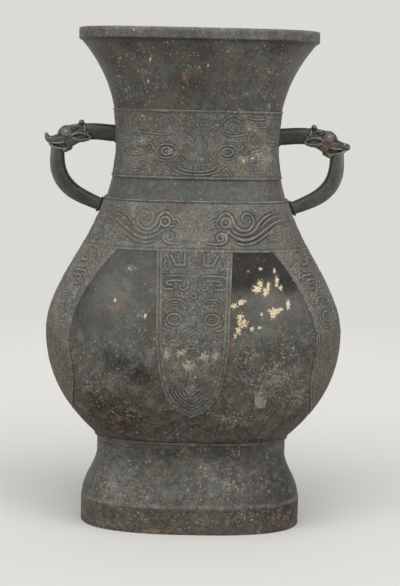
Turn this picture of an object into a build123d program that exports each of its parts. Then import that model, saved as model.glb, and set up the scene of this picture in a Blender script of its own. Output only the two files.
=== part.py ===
# Bronze hu: an oval wine vessel with a flared mouth, a swelling belly, a spreading foot and
# two beast-head handles. It is put together from separate castings: the neck laps into the
# belly, a base plate lies between belly and foot, the handles are pegged through the wall,
# and a run of solder closes each seam.
# Millimetres. The origin is the middle of the foot's underside and +Z is up. The handles lie
# along X and the front faces -Y.

import os
from math import cos, pi, sin, sqrt

from build123d import *

# Heights, each measured from the joint below it
foot_height = 74.0
belly_height = 192.0
neck_height = 125.0
lip_height = 9.0
foot_band_height = 22.0
foot_collar_height = 16.0
belly_swell_height = 83.0
waist_height = 42.0

# Plans: width along X, depth along Y, and squareness, the power of the superellipse
lip_width = 191.4
lip_depth = 152.0
lip_squareness = 3.8
flare_width = 188.4
flare_depth = 149.0
waist_width = 130.8
waist_depth = 106.0
waist_squareness = 3.1
neck_root_width = 146.4
neck_root_depth = 116.0
shoulder_width = 150.4
shoulder_depth = 120.0
shoulder_squareness = 2.8
belly_width = 242.0
belly_depth = 174.0
belly_squareness = 2.4
belly_root_width = 161.0
belly_root_depth = 107.0
foot_squareness = 2.6
foot_top_width = 156.0
foot_top_depth = 102.0
foot_skirt_width = 180.0
foot_skirt_depth = 118.2
foot_band_width = 180.8
foot_band_depth = 119.0

# How steeply each profile leaves its joint, against a straight line between its two ends
flare_pull = 2.48
neck_root_pull = 1.6
shoulder_pull = 0.58
belly_root_pull = 2.28

# Walls, seams and fits
wall = 4.0
lip_wall = 6.0
foot_band_wall = 5.0
lip_edge = 1.2
foot_edge = 1.0
collar_rise = 17.4
collar_height = 54.0
collar_relief = 0.8
collar_ground = 0.4
collar_rim = 2.0
spigot_depth = 6.0
spigot_wall = 1.8
seat_depth = 10.0
fit_gap = 0.15
base_plate_thickness = 3.5
base_plate_seat = 2.0
neck_bead_width = 1.2
neck_bead_height = 1.2
foot_bead_width = 1.2
foot_bead_height = 5.0
base_bead_size = 3.0
bead_lip = 0.3

# Cast relief of the belly: a shoulder band and hanging blades stand above sunk plain panels.
# Swell and tuck are the two pulls of the blade's curve: reach from the middle, drop from the band
shoulder_band_height = 38.0
panel_depth = 0.7
panel_least_depth = 0.12
panel_foot_rise = 10.0
panel_fade = 26.0
blade_width = 59.2
blade_neck_width = 56.6
blade_straight = 68.0
blade_length = 130.5
blade_swell = (25.0, 103.0)
blade_tuck = (24.0, 120.0)
side_blade_width = 119.0
side_blade_straight = 87.0
side_blade_round = 51.0

# Eyes of the mask on the frieze: reach from the middle, rise above the collar's foot, half sizes
mask_eye_reach = 23.8
mask_eye_rise = 22.6
mask_eye_length = 7.6
mask_eye_height = 5.5

# Casting patch let into the front wall
patch_width = 12.0
patch_height = 16.0
patch_reach = 54.0
patch_drop = 44.0

# Handles: the arm springs from the neck, the loop drops from the beast's mouth to the shoulder
arm_rise = 50.8
arm_height = 13.6
arm_breadth = 11.0
arm_length = 24.0
arm_arch = 1.2
arm_corner = 4.0
peg_diameter = 7.0
peg_reach = 2.0
loop_reach = 47.2
loop_knee_drop = 39.6
loop_bend = 28.0
loop_foot_drop = 6.4
loop_top_thickness = 12.2
loop_knee_thickness = 13.0
loop_foot_thickness = 10.6
loop_top_breadth = 12.0
loop_foot_breadth = 10.0
loop_corner = 3.6
loop_peg_diameter = 6.0
loop_peg_rise = 5.0
root_bead_width = 2.4
root_bead_height = 2.0
root_bead_lip = 0.4
loop_steps = 8

# The beast's head, from the nape forward: reach past the arm's root, then the crown and the
# chin above the arm's axis, and the breadth
skull_stations = (
    (22.4, 8.4, -6.6, 12.6),
    (29.5, 7.7, -7.4, 16.0),
    (36.7, 6.7, -11.6, 18.0),
    (42.2, 5.2, -15.4, 17.4),
    (46.7, 0.8, -15.8, 14.6),
    (50.7, -3.6, -14.8, 12.4),
    (54.2, -4.4, -13.2, 11.4),
)
mouth_drop = 14.2
mouth_gap = 1.0
mouth_rise = 2.8
mouth_depth = 11.0
snout_radius = 3.4
snout_breadth = 11.0
snout_reach = 55.0
snout_drop = 4.8
eye_reach = 40.6
eye_drop = 0.2
eye_spread = 15.6
eye_radius = 3.0
eye_rim_radius = 4.6
eye_socket_radius = 3.6
eye_rim_height = 1.4
ear_reach = 24.0
ear_drop = 3.6
ear_length = 13.0
ear_height = 6.0
ear_spread = 15.0
ear_thickness = 2.6
ear_lift = 1.8
horn_reach = 31.6
horn_rise = 7.6
horn_length = 6.4
horn_root_radius = 2.6
horn_tip_radius = 1.7
horn_spread = 8.0
horn_lift = 1.0

# Levels worked out from the heights
ledge_level = foot_height + belly_height
belly_level = foot_height + belly_swell_height
waist_level = ledge_level + waist_height
lip_level = ledge_level + neck_height
mouth_level = lip_level + lip_height
collar_level = ledge_level + collar_rise
collar_top = collar_level + collar_height
arm_level = ledge_level + arm_rise
plate_level = foot_height - base_plate_thickness
band_level = ledge_level - shoulder_band_height
panel_foot_level = foot_height + panel_foot_rise

# How finely the outlines are drawn: points round an oval, and ovals along each stretch of wall
oval_points = 32
neck_root_ovals = 4
flare_ovals = 6
collar_ovals = 3
bulb_ovals = 7
shoulder_ovals = 8
foot_ovals = 8
slope_step = 0.5
on_foot = (Align.CENTER, Align.CENTER, Align.MIN)
on_head = (Align.CENTER, Align.CENTER, Align.MAX)

flare = (flare_width, flare_depth, lip_squareness)
waist = (waist_width, waist_depth, waist_squareness)
neck_root = (neck_root_width, neck_root_depth, shoulder_squareness)
shoulder = (shoulder_width, shoulder_depth, shoulder_squareness)
swell = (belly_width, belly_depth, belly_squareness)
belly_root = (belly_root_width, belly_root_depth, foot_squareness)
foot_top = (foot_top_width, foot_top_depth, foot_squareness)
foot_skirt = (foot_skirt_width, foot_skirt_depth, foot_squareness)
foot_band = (foot_band_width, foot_band_depth, foot_squareness)
lip = (lip_width, lip_depth, lip_squareness)


def eased(share, start_pull, end_pull):
    """Cubic from 0 to 1 with the given slope at each end"""
    cube = start_pull + end_pull - 2
    square = 3 - 2 * start_pull - end_pull
    return cube * share**3 + square * share**2 + start_pull * share


def between(first, second, share):
    """The plan that lies a share of the way from one plan to another"""
    return tuple(a + (b - a) * share for a, b in zip(first, second))


def neck_plan(level):
    if level < waist_level:
        share = eased((waist_level - level) / waist_height, 0, neck_root_pull)
        return between(waist, neck_root, share)
    share = eased((level - waist_level) / (lip_level - waist_level), 0, flare_pull)
    return between(waist, flare, share)


def belly_plan(level):
    if level < belly_level:
        share = eased((belly_level - level) / belly_swell_height, 0, belly_root_pull)
        return between(swell, belly_root, share)
    share = eased((level - belly_level) / (ledge_level - belly_level), 0, shoulder_pull)
    return between(swell, shoulder, share)


def foot_plan(level):
    collar_level_low = foot_height - foot_collar_height
    share = (collar_level_low - level) / (collar_level_low - foot_band_height)
    return between(foot_top, foot_skirt, eased(min(max(share, 0), 1), 0, 0))


def oval(level, width, depth, squareness):
    """Superellipse |x/a|^n + |y/b|^n = 1 as one closed spline on a level plane"""
    points = []
    for step in range(oval_points):
        turn = pi / 2 + 2 * pi * step / oval_points
        length = (abs(cos(turn)) ** squareness + abs(sin(turn)) ** squareness) ** (-1 / squareness)
        points.append((width / 2 * cos(turn) * length, depth / 2 * sin(turn) * length))
    with BuildSketch(Plane.XY.offset(level)) as outline:
        with BuildLine():
            Spline(*points, periodic=True)
        make_face()
    return outline.sketch


def wall_oval(plan, level, inset=0.0):
    """The plan's oval at a level, moved in square to the wall by inset"""
    above = plan(level + slope_step)
    below = plan(level - slope_step)
    width, depth, squareness = plan(level)
    width_slope = (above[0] - below[0]) / (4 * slope_step)
    depth_slope = (above[1] - below[1]) / (4 * slope_step)
    width -= 2 * inset * sqrt(1 + width_slope**2)
    depth -= 2 * inset * sqrt(1 + depth_slope**2)
    return oval(level, width, depth, squareness)


def levels_between(low, high, count):
    return [low + (high - low) * step / count for step in range(count + 1)]


def shell_ovals(plan, low, high, count, inset=0.0):
    return [wall_oval(plan, level, inset) for level in levels_between(low, high, count)]


def grown(plan, growth):
    """A plan whose width and depth are larger all round by growth"""
    return (plan[0] + 2 * growth, plan[1] + 2 * growth, plan[2])


# The bore of the neck at the ledge, and the socket in the belly that takes the neck's spigot
neck_bore = grown(neck_root, -wall)
spigot = grown(neck_bore, spigot_wall)
socket = grown(spigot, fit_gap)
mouth_bore = grown(lip, -lip_wall)

# Where the handles stand: on the collar of the neck, and on the belly's shoulder
arm_root = neck_plan(arm_level)[0] / 2 + collar_relief
loop_foot_level = ledge_level - loop_foot_drop
loop_foot_reach = belly_plan(loop_foot_level)[0] / 2
seat_level = arm_level - mouth_drop
loop_axis = arm_root + loop_reach

with BuildLine(Plane.XZ) as loop_path:
    FilletPolyline(
        (loop_axis, seat_level),
        (loop_axis, arm_level - loop_knee_drop),
        (loop_foot_reach, loop_foot_level),
        radius=loop_bend,
    )
loop_route = loop_path.wires()[0]


def loop_plane(share, beyond=0.0):
    """Plane square to the loop a share of the way down it, with its X axis across the bar"""
    onward = loop_route % share
    return Plane(loop_route @ share + onward * beyond, x_dir=(0, 1, 0), z_dir=onward)


def handle_plane(reach, rise=0.0):
    """Plane square to the arm, at a reach from its root and a rise above its axis"""
    return Plane((arm_root + reach, 0, arm_level + rise), x_dir=(0, 1, 0), z_dir=(1, 0, 0))


def bar_section(plane, breadth, thickness, corner):
    with BuildSketch(plane) as section:
        RectangleRounded(breadth, thickness, corner)
    return section.sketch


def swollen(bar, growth):
    """A bar's breadth, thickness and corner, larger all round by growth"""
    return (bar[0] + 2 * growth, bar[1] + 2 * growth, bar[2] + growth)


def arm_section(reach, rise):
    return bar_section(handle_plane(reach, rise), arm_breadth, arm_height, arm_corner)


def skull_section(reach, crown, chin, breadth):
    with BuildSketch(handle_plane(reach, (crown + chin) / 2)) as section:
        Ellipse(breadth / 2, (crown - chin) / 2)
    return section.sketch


def loop_section(share, beyond=0.0):
    """Bar section of the loop: thickest at the knee, narrowing to its foot"""
    top = (loop_top_breadth, loop_top_thickness)
    foot = (loop_foot_breadth, loop_foot_thickness)
    knee = ((loop_top_breadth + loop_foot_breadth) / 2, loop_knee_thickness)
    size = between(top, knee, 2 * share) if share < 0.5 else between(knee, foot, 2 * share - 1)
    return bar_section(loop_plane(share, beyond), *size, loop_corner)


def panel_inset(level):
    """Depth of the plain panels: full above, fading to a trace at the belly's root"""
    share = min(max((level - panel_foot_level) / panel_fade, 0), 1)
    return panel_least_depth + (panel_depth - panel_least_depth) * share


def panel_core():
    """The belly's outside, sunk by the depth of the panels"""
    with BuildPart() as core:
        for low, high, count in (
            (foot_height, belly_level, bulb_ovals),
            (belly_level, ledge_level, shoulder_ovals),
        ):
            levels = levels_between(low, high, count)
            loft([wall_oval(belly_plan, level, panel_inset(level)) for level in levels])
    return core.part


# Eyes of the mask: oval bosses carried through the collar, front and back
with BuildPart() as mask_eyes:
    loft(shell_ovals(neck_plan, collar_level, waist_level, collar_ovals, -collar_relief))
    loft(shell_ovals(neck_plan, waist_level, collar_top, collar_ovals, -collar_relief))
    with BuildSketch(Plane.XZ) as eye_pair:
        with Locations((0, collar_level + mask_eye_rise)):
            with GridLocations(2 * mask_eye_reach, 0, 2, 1):
                Ellipse(mask_eye_length, mask_eye_height)
    extrude(eye_pair.sketch, amount=lip_depth, both=True, mode=Mode.INTERSECT)

# Solid outsides, used to cope the handles and the solder to the wall
with BuildPart() as neck_outside:
    loft(shell_ovals(neck_plan, ledge_level, waist_level, neck_root_ovals))
    loft(shell_ovals(neck_plan, waist_level, lip_level, flare_ovals))
    loft(shell_ovals(neck_plan, collar_level, waist_level, collar_ovals, -collar_ground))
    loft(shell_ovals(neck_plan, waist_level, collar_top, collar_ovals, -collar_ground))
    loft(shell_ovals(neck_plan, collar_level, collar_level + collar_rim, 1, -collar_relief))
    loft(shell_ovals(neck_plan, collar_top - collar_rim, collar_top, 1, -collar_relief))
    add(mask_eyes.part)

with BuildPart() as belly_outside:
    loft(shell_ovals(belly_plan, foot_height, belly_level, bulb_ovals))
    loft(shell_ovals(belly_plan, belly_level, ledge_level, shoulder_ovals))

# Neck: flared mouth with its lip, raised collar for the mask frieze, spigot into the belly
with BuildPart() as neck:
    add(neck_outside.part)
    extrude(oval(lip_level, *lip), amount=lip_height)
    fillet(neck.edges().group_by(Axis.Z)[-1], radius=lip_edge)
    extrude(oval(ledge_level, *spigot), amount=-spigot_depth)
    root_bore = shell_ovals(neck_plan, ledge_level, waist_level, neck_root_ovals, wall)
    loft(root_bore, mode=Mode.SUBTRACT)
    flare_bore = shell_ovals(neck_plan, waist_level, lip_level, flare_ovals, wall)
    loft(flare_bore, mode=Mode.SUBTRACT)
    lip_bore = wall_oval(neck_plan, lip_level, wall)
    loft([lip_bore, oval(mouth_level, *mouth_bore)], ruled=True, mode=Mode.SUBTRACT)
    extrude(oval(ledge_level, *neck_bore), amount=-spigot_depth, mode=Mode.SUBTRACT)
    with Locations((0, 0, arm_level)):
        mortise_radius = peg_diameter / 2 + fit_gap
        Cylinder(mortise_radius, lip_width, rotation=(0, 90, 0), mode=Mode.SUBTRACT)

# Outlines of the hanging blades: a tongue on the front and back, a wide one on each side
with BuildSketch(Plane.XZ) as front_blade:
    blade_root = (blade_width / 2, band_level)
    blade_neck = (blade_neck_width / 2, band_level - blade_straight)
    blade_tip = (0, band_level - blade_length)
    blade_pulls = [(reach, band_level - drop) for reach, drop in (blade_swell, blade_tuck)]
    with BuildLine():
        Polyline((0, band_level), blade_root, blade_neck)
        Bezier(blade_neck, *blade_pulls, blade_tip)
        Line(blade_tip, (0, band_level))
    make_face()
    mirror(about=Plane.YZ)

with BuildSketch(Plane.YZ) as side_blade:
    with Locations((0, band_level)):
        Rectangle(side_blade_width, side_blade_straight, align=(Align.CENTER, Align.MAX))
    with Locations((0, band_level - side_blade_straight)):
        Ellipse(side_blade_width / 2, side_blade_round)

# What the plain panels take off the belly
with BuildPart() as panel_cutter:
    panel_height = band_level - panel_foot_level
    with Locations((0, 0, panel_foot_level)):
        Box(2 * belly_width, 2 * belly_depth, panel_height, align=on_foot)
    extrude(front_blade.sketch, amount=2 * belly_depth, both=True, mode=Mode.SUBTRACT)
    extrude(side_blade.sketch, amount=2 * belly_width, both=True, mode=Mode.SUBTRACT)
    add(panel_core(), mode=Mode.SUBTRACT)

# Belly: shoulder and bulb in one casting, open above and below, with mortises for the loops
with BuildPart() as belly_shell:
    add(belly_outside.part)
    add(panel_cutter.part, mode=Mode.SUBTRACT)
    bulb_inside = shell_ovals(belly_plan, foot_height, belly_level, bulb_ovals, wall)
    loft(bulb_inside, mode=Mode.SUBTRACT)
    cavity_top = ledge_level - seat_depth
    shoulder_inside = shell_ovals(belly_plan, belly_level, cavity_top, shoulder_ovals, wall)
    loft(shoulder_inside, mode=Mode.SUBTRACT)
    extrude(oval(cavity_top, *socket), amount=seat_depth, mode=Mode.SUBTRACT)

patch_centre = (patch_reach, -belly_depth / 4, belly_level - patch_drop)
with BuildPart() as belly:
    add(belly_shell.part)
    with Locations(patch_centre):
        hole_width = patch_width + 2 * fit_gap
        hole_height = patch_height + 2 * fit_gap
        Box(hole_width, belly_depth / 2, hole_height, mode=Mode.SUBTRACT)
    loop_mortise = loop_plane(1)
    far_mortise = Plane(
        (-loop_mortise.origin.X, 0, loop_mortise.origin.Z),
        x_dir=(0, 1, 0),
        z_dir=(-loop_mortise.z_dir.X, 0, loop_mortise.z_dir.Z),
    )
    with Locations(loop_mortise, far_mortise):
        mortise_radius = loop_peg_diameter / 2 + fit_gap
        Cylinder(mortise_radius, 2 * seat_depth, mode=Mode.SUBTRACT)

# Patch: a piece of the wall's own curve let into the hole that a core support left
with BuildPart() as casting_patch:
    add(belly_shell.part)
    with Locations(patch_centre):
        Box(patch_width, belly_depth / 2, patch_height, mode=Mode.INTERSECT)

# Foot: collar, hollow curve and upright band, open below, rabbeted on top for the base plate
with BuildPart() as foot:
    loft(shell_ovals(foot_plan, foot_band_height, foot_height, foot_ovals))
    extrude(oval(0, *foot_band), amount=foot_band_height)
    fillet(foot.edges().group_by(Axis.Z)[0], radius=foot_edge)
    skirt_inside = shell_ovals(foot_plan, foot_band_height, foot_height, foot_ovals, wall)
    loft(skirt_inside, mode=Mode.SUBTRACT)
    band_bore = grown(foot_band, -foot_band_wall)
    extrude(oval(0, *band_bore), amount=foot_band_height, mode=Mode.SUBTRACT)
    rabbet = grown(foot_top, fit_gap - base_plate_seat)
    extrude(oval(plate_level, *rabbet), amount=base_plate_thickness, mode=Mode.SUBTRACT)

# Base plate: closes the belly, held between the belly's root and the foot's rabbet
with BuildPart() as base_plate:
    plate = grown(foot_top, -base_plate_seat)
    extrude(oval(plate_level, *plate), amount=base_plate_thickness)

# Solder at the three seams of the body
with BuildPart() as neck_seam_solder:
    bead_top = ledge_level + neck_bead_height
    bead_foot = grown(neck_root, neck_bead_width)
    neck_at_bead = neck_plan(bead_top)
    loft([oval(ledge_level, *bead_foot), oval(bead_top, *grown(neck_at_bead, bead_lip))], ruled=True)
    add(neck_outside.part, mode=Mode.SUBTRACT)

with BuildPart() as foot_seam_solder:
    bead_low = foot_height - foot_bead_height
    extrude(oval(bead_low, *grown(foot_top, foot_bead_width)), amount=foot_bead_height)
    bead_core = oval(bead_low, *grown(foot_top, -base_plate_seat / 2))
    extrude(bead_core, amount=foot_bead_height, mode=Mode.SUBTRACT)
    add(foot.part, mode=Mode.SUBTRACT)

with BuildPart() as base_plate_solder:
    bead_low = plate_level - base_bead_size
    foot_bore = grown(foot_top, -wall)
    extrude(oval(bead_low, *grown(foot_bore, base_plate_seat / 2)), amount=base_bead_size)
    bead_inside = oval(plate_level, *grown(foot_bore, -base_bead_size))
    loft([oval(bead_low, *grown(foot_bore, -bead_lip)), bead_inside], ruled=True, mode=Mode.SUBTRACT)
    add(foot.part, mode=Mode.SUBTRACT)

# Beast head: arm, skull, snout, eyes, ears and horns in one casting, pegged through the neck
with BuildPart() as right_handle_head:
    loft([
        arm_section(-wall, 0),
        arm_section(root_bead_height, 0),
        arm_section(arm_length / 2, arm_arch),
        arm_section(arm_length, arm_arch),
    ])
    loft([skull_section(*station) for station in skull_stations])
    with Locations((arm_root + snout_reach, 0, arm_level - snout_drop)):
        Cylinder(snout_radius, snout_breadth, rotation=(90, 0, 0))
    for side in (-1, 1):
        eye_centre = (arm_root + eye_reach, side * eye_spread / 2, arm_level - eye_drop)
        with Locations(Plane(eye_centre, x_dir=(1, 0, 0), z_dir=(0, side, 0))):
            Cylinder(eye_rim_radius, 2 * eye_rim_height)
            with Locations((0, 0, eye_rim_height)):
                Cylinder(eye_socket_radius, eye_rim_height, mode=Mode.SUBTRACT)
            Sphere(eye_radius)
        ear_tip = (arm_root + ear_reach - ear_length / 2, arm_level - ear_drop + ear_lift)
        ear_root = (arm_root + ear_reach + ear_length / 2, arm_level - ear_drop - ear_lift)
        ear_rim = (arm_root + ear_reach, arm_level - ear_drop + ear_height / 2)
        ear_lobe = (arm_root + ear_reach, arm_level - ear_drop - ear_height / 2)
        with BuildSketch(Plane.XZ.offset(side * ear_spread / 2)) as ear:
            with BuildLine():
                ThreePointArc(ear_root, ear_rim, ear_tip)
                ThreePointArc(ear_tip, ear_lobe, ear_root)
            make_face()
        extrude(ear.sketch, amount=ear_thickness / 2, both=True)
        horn_root = (arm_root + horn_reach, side * horn_spread / 2, arm_level + horn_rise)
        horn = Plane(horn_root, x_dir=(0, 1, 0), z_dir=(-1, 0, horn_lift))
        with Locations(horn):
            Cone(horn_root_radius, horn_tip_radius, horn_length, align=on_foot)
        with Locations(horn.offset(horn_length)):
            Sphere(horn_tip_radius)
    split(bisect_by=Plane.XY.offset(seat_level), keep=Keep.TOP)
    with Locations((arm_root + snout_reach, 0, seat_level + mouth_rise)):
        Box(2 * mouth_depth, arm_length, mouth_gap, mode=Mode.SUBTRACT)
    with Locations((loop_axis, 0, seat_level)):
        socket_radius = loop_peg_diameter / 2 + fit_gap
        Cylinder(socket_radius, 2 * (loop_peg_rise + fit_gap), mode=Mode.SUBTRACT)
    add(neck_outside.part, mode=Mode.SUBTRACT)
    with Locations(handle_plane(-wall - peg_reach)):
        peg_length = wall + peg_reach + peg_diameter
        Cylinder(peg_diameter / 2, peg_length, align=on_foot)

# Loop: a bar from the beast's mouth to the shoulder, pegged into the jaw and through the wall
with BuildPart() as right_handle_loop:
    stations = [loop_section(step / loop_steps) for step in range(loop_steps + 1)]
    loft(stations + [loop_section(1, wall)])
    add(belly_outside.part, mode=Mode.SUBTRACT)
    with Locations((loop_axis, 0, seat_level)):
        Cylinder(loop_peg_diameter / 2, 2 * loop_peg_rise)
    with Locations(loop_plane(1, wall + peg_reach)):
        peg_length = wall + peg_reach + loop_peg_diameter
        Cylinder(loop_peg_diameter / 2, peg_length, align=on_head)

# Solder round the roots of the handle, coped to the bar and to the wall
with BuildPart() as right_arm_solder:
    arm_size = (arm_breadth, arm_height, arm_corner)
    loft([
        bar_section(handle_plane(-root_bead_height), *swollen(arm_size, root_bead_width)),
        bar_section(handle_plane(root_bead_height), *swollen(arm_size, root_bead_lip)),
    ], ruled=True)
    add(neck_outside.part, mode=Mode.SUBTRACT)
    add(right_handle_head.part, mode=Mode.SUBTRACT)

with BuildPart() as right_loop_solder:
    foot_size = (loop_foot_breadth, loop_foot_thickness, loop_corner)
    loft([
        bar_section(loop_plane(1, root_bead_height), *swollen(foot_size, root_bead_width)),
        bar_section(loop_plane(1, -root_bead_height), *swollen(foot_size, root_bead_lip)),
    ], ruled=True)
    add(belly_outside.part, mode=Mode.SUBTRACT)
    add(right_handle_loop.part, mode=Mode.SUBTRACT)

# The left handle is the right one's mirror image
with BuildPart() as left_handle_head:
    mirror(right_handle_head.part, about=Plane.YZ)

with BuildPart() as left_handle_loop:
    mirror(right_handle_loop.part, about=Plane.YZ)

with BuildPart() as left_arm_solder:
    mirror(right_arm_solder.part, about=Plane.YZ)

with BuildPart() as left_loop_solder:
    mirror(right_loop_solder.part, about=Plane.YZ)

os.makedirs("parts", exist_ok=True)
neck.part.label = "neck"
export_step(neck.part, "parts/neck.step")
belly.part.label = "belly"
export_step(belly.part, "parts/belly.step")
casting_patch.part.label = "casting_patch"
export_step(casting_patch.part, "parts/casting_patch.step")
foot.part.label = "foot"
export_step(foot.part, "parts/foot.step")
base_plate.part.label = "base_plate"
export_step(base_plate.part, "parts/base_plate.step")
neck_seam_solder.part.label = "neck_seam_solder"
export_step(neck_seam_solder.part, "parts/neck_seam_solder.step")
foot_seam_solder.part.label = "foot_seam_solder"
export_step(foot_seam_solder.part, "parts/foot_seam_solder.step")
base_plate_solder.part.label = "base_plate_solder"
export_step(base_plate_solder.part, "parts/base_plate_solder.step")
right_handle_head.part.label = "right_handle_head"
export_step(right_handle_head.part, "parts/right_handle_head.step")
right_handle_loop.part.label = "right_handle_loop"
export_step(right_handle_loop.part, "parts/right_handle_loop.step")
right_arm_solder.part.label = "right_arm_solder"
export_step(right_arm_solder.part, "parts/right_arm_solder.step")
right_loop_solder.part.label = "right_loop_solder"
export_step(right_loop_solder.part, "parts/right_loop_solder.step")
left_handle_head.part.label = "left_handle_head"
export_step(left_handle_head.part, "parts/left_handle_head.step")
left_handle_loop.part.label = "left_handle_loop"
export_step(left_handle_loop.part, "parts/left_handle_loop.step")
left_arm_solder.part.label = "left_arm_solder"
export_step(left_arm_solder.part, "parts/left_arm_solder.step")
left_loop_solder.part.label = "left_loop_solder"
export_step(left_loop_solder.part, "parts/left_loop_solder.step")
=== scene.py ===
# Bronze hu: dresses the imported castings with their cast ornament, worn handles and patina.
# Working units are millimetres; a mesh is turned to metres as it is made.
import math

import bpy
import numpy as np
from mathutils import Matrix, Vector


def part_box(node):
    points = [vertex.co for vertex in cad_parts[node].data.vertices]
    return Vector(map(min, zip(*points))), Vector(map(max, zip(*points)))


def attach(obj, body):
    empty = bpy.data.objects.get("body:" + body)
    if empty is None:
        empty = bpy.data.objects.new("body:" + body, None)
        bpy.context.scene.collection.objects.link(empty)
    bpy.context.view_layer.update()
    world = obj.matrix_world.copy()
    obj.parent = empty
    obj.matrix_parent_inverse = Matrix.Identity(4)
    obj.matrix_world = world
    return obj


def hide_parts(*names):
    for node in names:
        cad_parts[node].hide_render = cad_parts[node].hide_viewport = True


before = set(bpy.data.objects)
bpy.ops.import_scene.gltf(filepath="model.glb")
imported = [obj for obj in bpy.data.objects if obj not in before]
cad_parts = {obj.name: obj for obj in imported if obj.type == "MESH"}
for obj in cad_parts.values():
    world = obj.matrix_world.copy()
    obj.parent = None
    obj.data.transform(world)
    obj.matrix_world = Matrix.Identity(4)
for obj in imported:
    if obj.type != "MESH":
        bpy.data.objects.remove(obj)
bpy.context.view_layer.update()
mm = 0.001
scene = bpy.context.scene


def nodeTop(node):
    # highest corner of a casting's box, in millimetres
    return np.array(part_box(node)[1]) / mm


neckHigh, bellyHigh, footHigh = nodeTop("neck"), nodeTop("belly"), nodeTop("foot")

# Plans are width, depth and squareness, the power of the superellipse
vessel = {
    "ledge": bellyHigh[2],
    "footTop": footHigh[2],
    "mouth": neckHigh[2],
    "lipHeight": 9.0,
    "bellySwell": 83.0,
    "waistRise": 42.0,
    "footBandHeight": 22.0,
    "footCollarHeight": 16.0,
    "lipPlan": (neckHigh[0] * 2, neckHigh[1] * 2, 3.8),
    "flarePlan": (188.4, 149.0, 3.8),
    "waistPlan": (130.8, 106.0, 3.1),
    "neckRootPlan": (146.4, 116.0, 2.8),
    "shoulderPlan": (150.4, 120.0, 2.8),
    "bellyPlan": (bellyHigh[0] * 2, bellyHigh[1] * 2, 2.4),
    "bellyRootPlan": (161.0, 107.0, 2.6),
    "footTopPlan": (156.0, 102.0, 2.6),
    "footSkirtPlan": (180.0, 118.2, 2.6),
    "footBandPlan": (footHigh[0] * 2, footHigh[1] * 2, 2.6),
    "flarePull": 2.48,
    "neckRootPull": 1.6,
    "shoulderPull": 0.58,
    "bellyRootPull": 2.28,
    "wall": 4.0,
    "lipWall": 6.0,
    "footBandWall": 5.0,
    "spigotDepth": 6.0,
    "seatDepth": 10.0,
    "spigotWall": 1.8,
    "socketGrowth": 1.95,
    "rabbetDepth": 3.5,
    "rabbetInset": 2.0,
}
ledge, mouth, footTop = vessel["ledge"], vessel["mouth"], vessel["footTop"]
bellyLevel = footTop + vessel["bellySwell"]
waistLevel = ledge + vessel["waistRise"]
lipLevel = mouth - vessel["lipHeight"]
footBandTop = vessel["footBandHeight"]


def eased(share, pull):
    # cubic from 0 to 1 that sets out level and arrives with the slope pull
    return (pull - 2) * share**3 + (3 - pull) * share**2


def smoothStep(low, high, values):
    # 0 below low, 1 above high, 3t^2 - 2t^3 between
    share = np.clip((values - low) / (high - low), 0, 1)
    return share * share * (3 - 2 * share)


def easedPlan(level, plan, planLevel, targets):
    # a plan at its own level, eased towards each target (plan, level, pull) on that target's side
    plan = np.array(vessel[plan])
    moved = np.tile(plan, (len(level), 1))
    for target, reach, pull in targets:
        share = np.clip((level - planLevel) / (reach - planLevel), 0, 1)
        moved = moved + (np.array(vessel[target]) - plan) * eased(share, pull)[:, None]
    return moved


def neckPlan(level):
    # the waist, eased down to the neck's root and up to the flare
    return easedPlan(level, "waistPlan", waistLevel, [("neckRootPlan", ledge, vessel["neckRootPull"]),
                                                      ("flarePlan", lipLevel, vessel["flarePull"])])


def bellyPlan(level):
    # the widest oval, eased down to the belly's root and up to the shoulder
    return easedPlan(level, "bellyPlan", bellyLevel, [("bellyRootPlan", footTop, vessel["bellyRootPull"]),
                                                      ("shoulderPlan", ledge, vessel["shoulderPull"])])


def footPlan(level):
    # the foot's collar, eased down to the skirt, level at both ends
    return easedPlan(level, "footTopPlan", footTop - vessel["footCollarHeight"],
                     [("footSkirtPlan", footBandTop, 0.0)])


def insetPlan(plan, level, inset, step=0.5):
    # the plan at a level, moved in square to the wall by inset
    slope = (plan(level + step) - plan(level - step))[:, :2] / (4 * step)
    moved = plan(level)
    moved[:, :2] -= 2 * inset * np.sqrt(1 + slope**2)
    return moved


def grownPlan(plan, growth):
    # one plan with the same growth on every side
    return np.array([plan[0] + 2 * growth, plan[1] + 2 * growth, plan[2]])


denseTurns = np.linspace(-np.pi, np.pi, 2881)


def ovalOutline(plans):
    # |x/a|^n + |y/b|^n = 1 at many angles from the back round the front, with the arc length
    # from the front centre, positive towards +X
    half, power = plans[:, :2] / 2, plans[:, 2:3]
    sine, cosine = np.sin(denseTurns), np.cos(denseTurns)
    reach = (np.abs(sine) ** power + np.abs(cosine) ** power) ** (-1 / power)
    x = half[:, :1] * sine * reach
    y = -half[:, 1:] * cosine * reach
    step = np.hypot(np.diff(x, axis=1), np.diff(y, axis=1))
    length = np.concatenate([np.zeros((len(plans), 1)), np.cumsum(step, axis=1)], axis=1)
    return x, y, length - length[:, -1:] / 2


def ovalGrid(plans, levels, along):
    # points of each level's oval read off at the given arc lengths
    x, y, length = ovalOutline(plans)
    grid = np.empty(along.shape + (3,))
    for row in range(len(levels)):
        grid[row, :, 0] = np.interp(along[row], length[row], x[row])
        grid[row, :, 1] = np.interp(along[row], length[row], y[row])
    grid[..., 2] = np.asarray(levels)[:, None]
    return grid


def ringLengths(plans, columns):
    # arc lengths of evenly spaced columns right round each oval, from the back's middle
    half = ovalOutline(plans)[2][:, -1:]
    return (np.arange(columns) / columns * 2 - 1) * half


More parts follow.
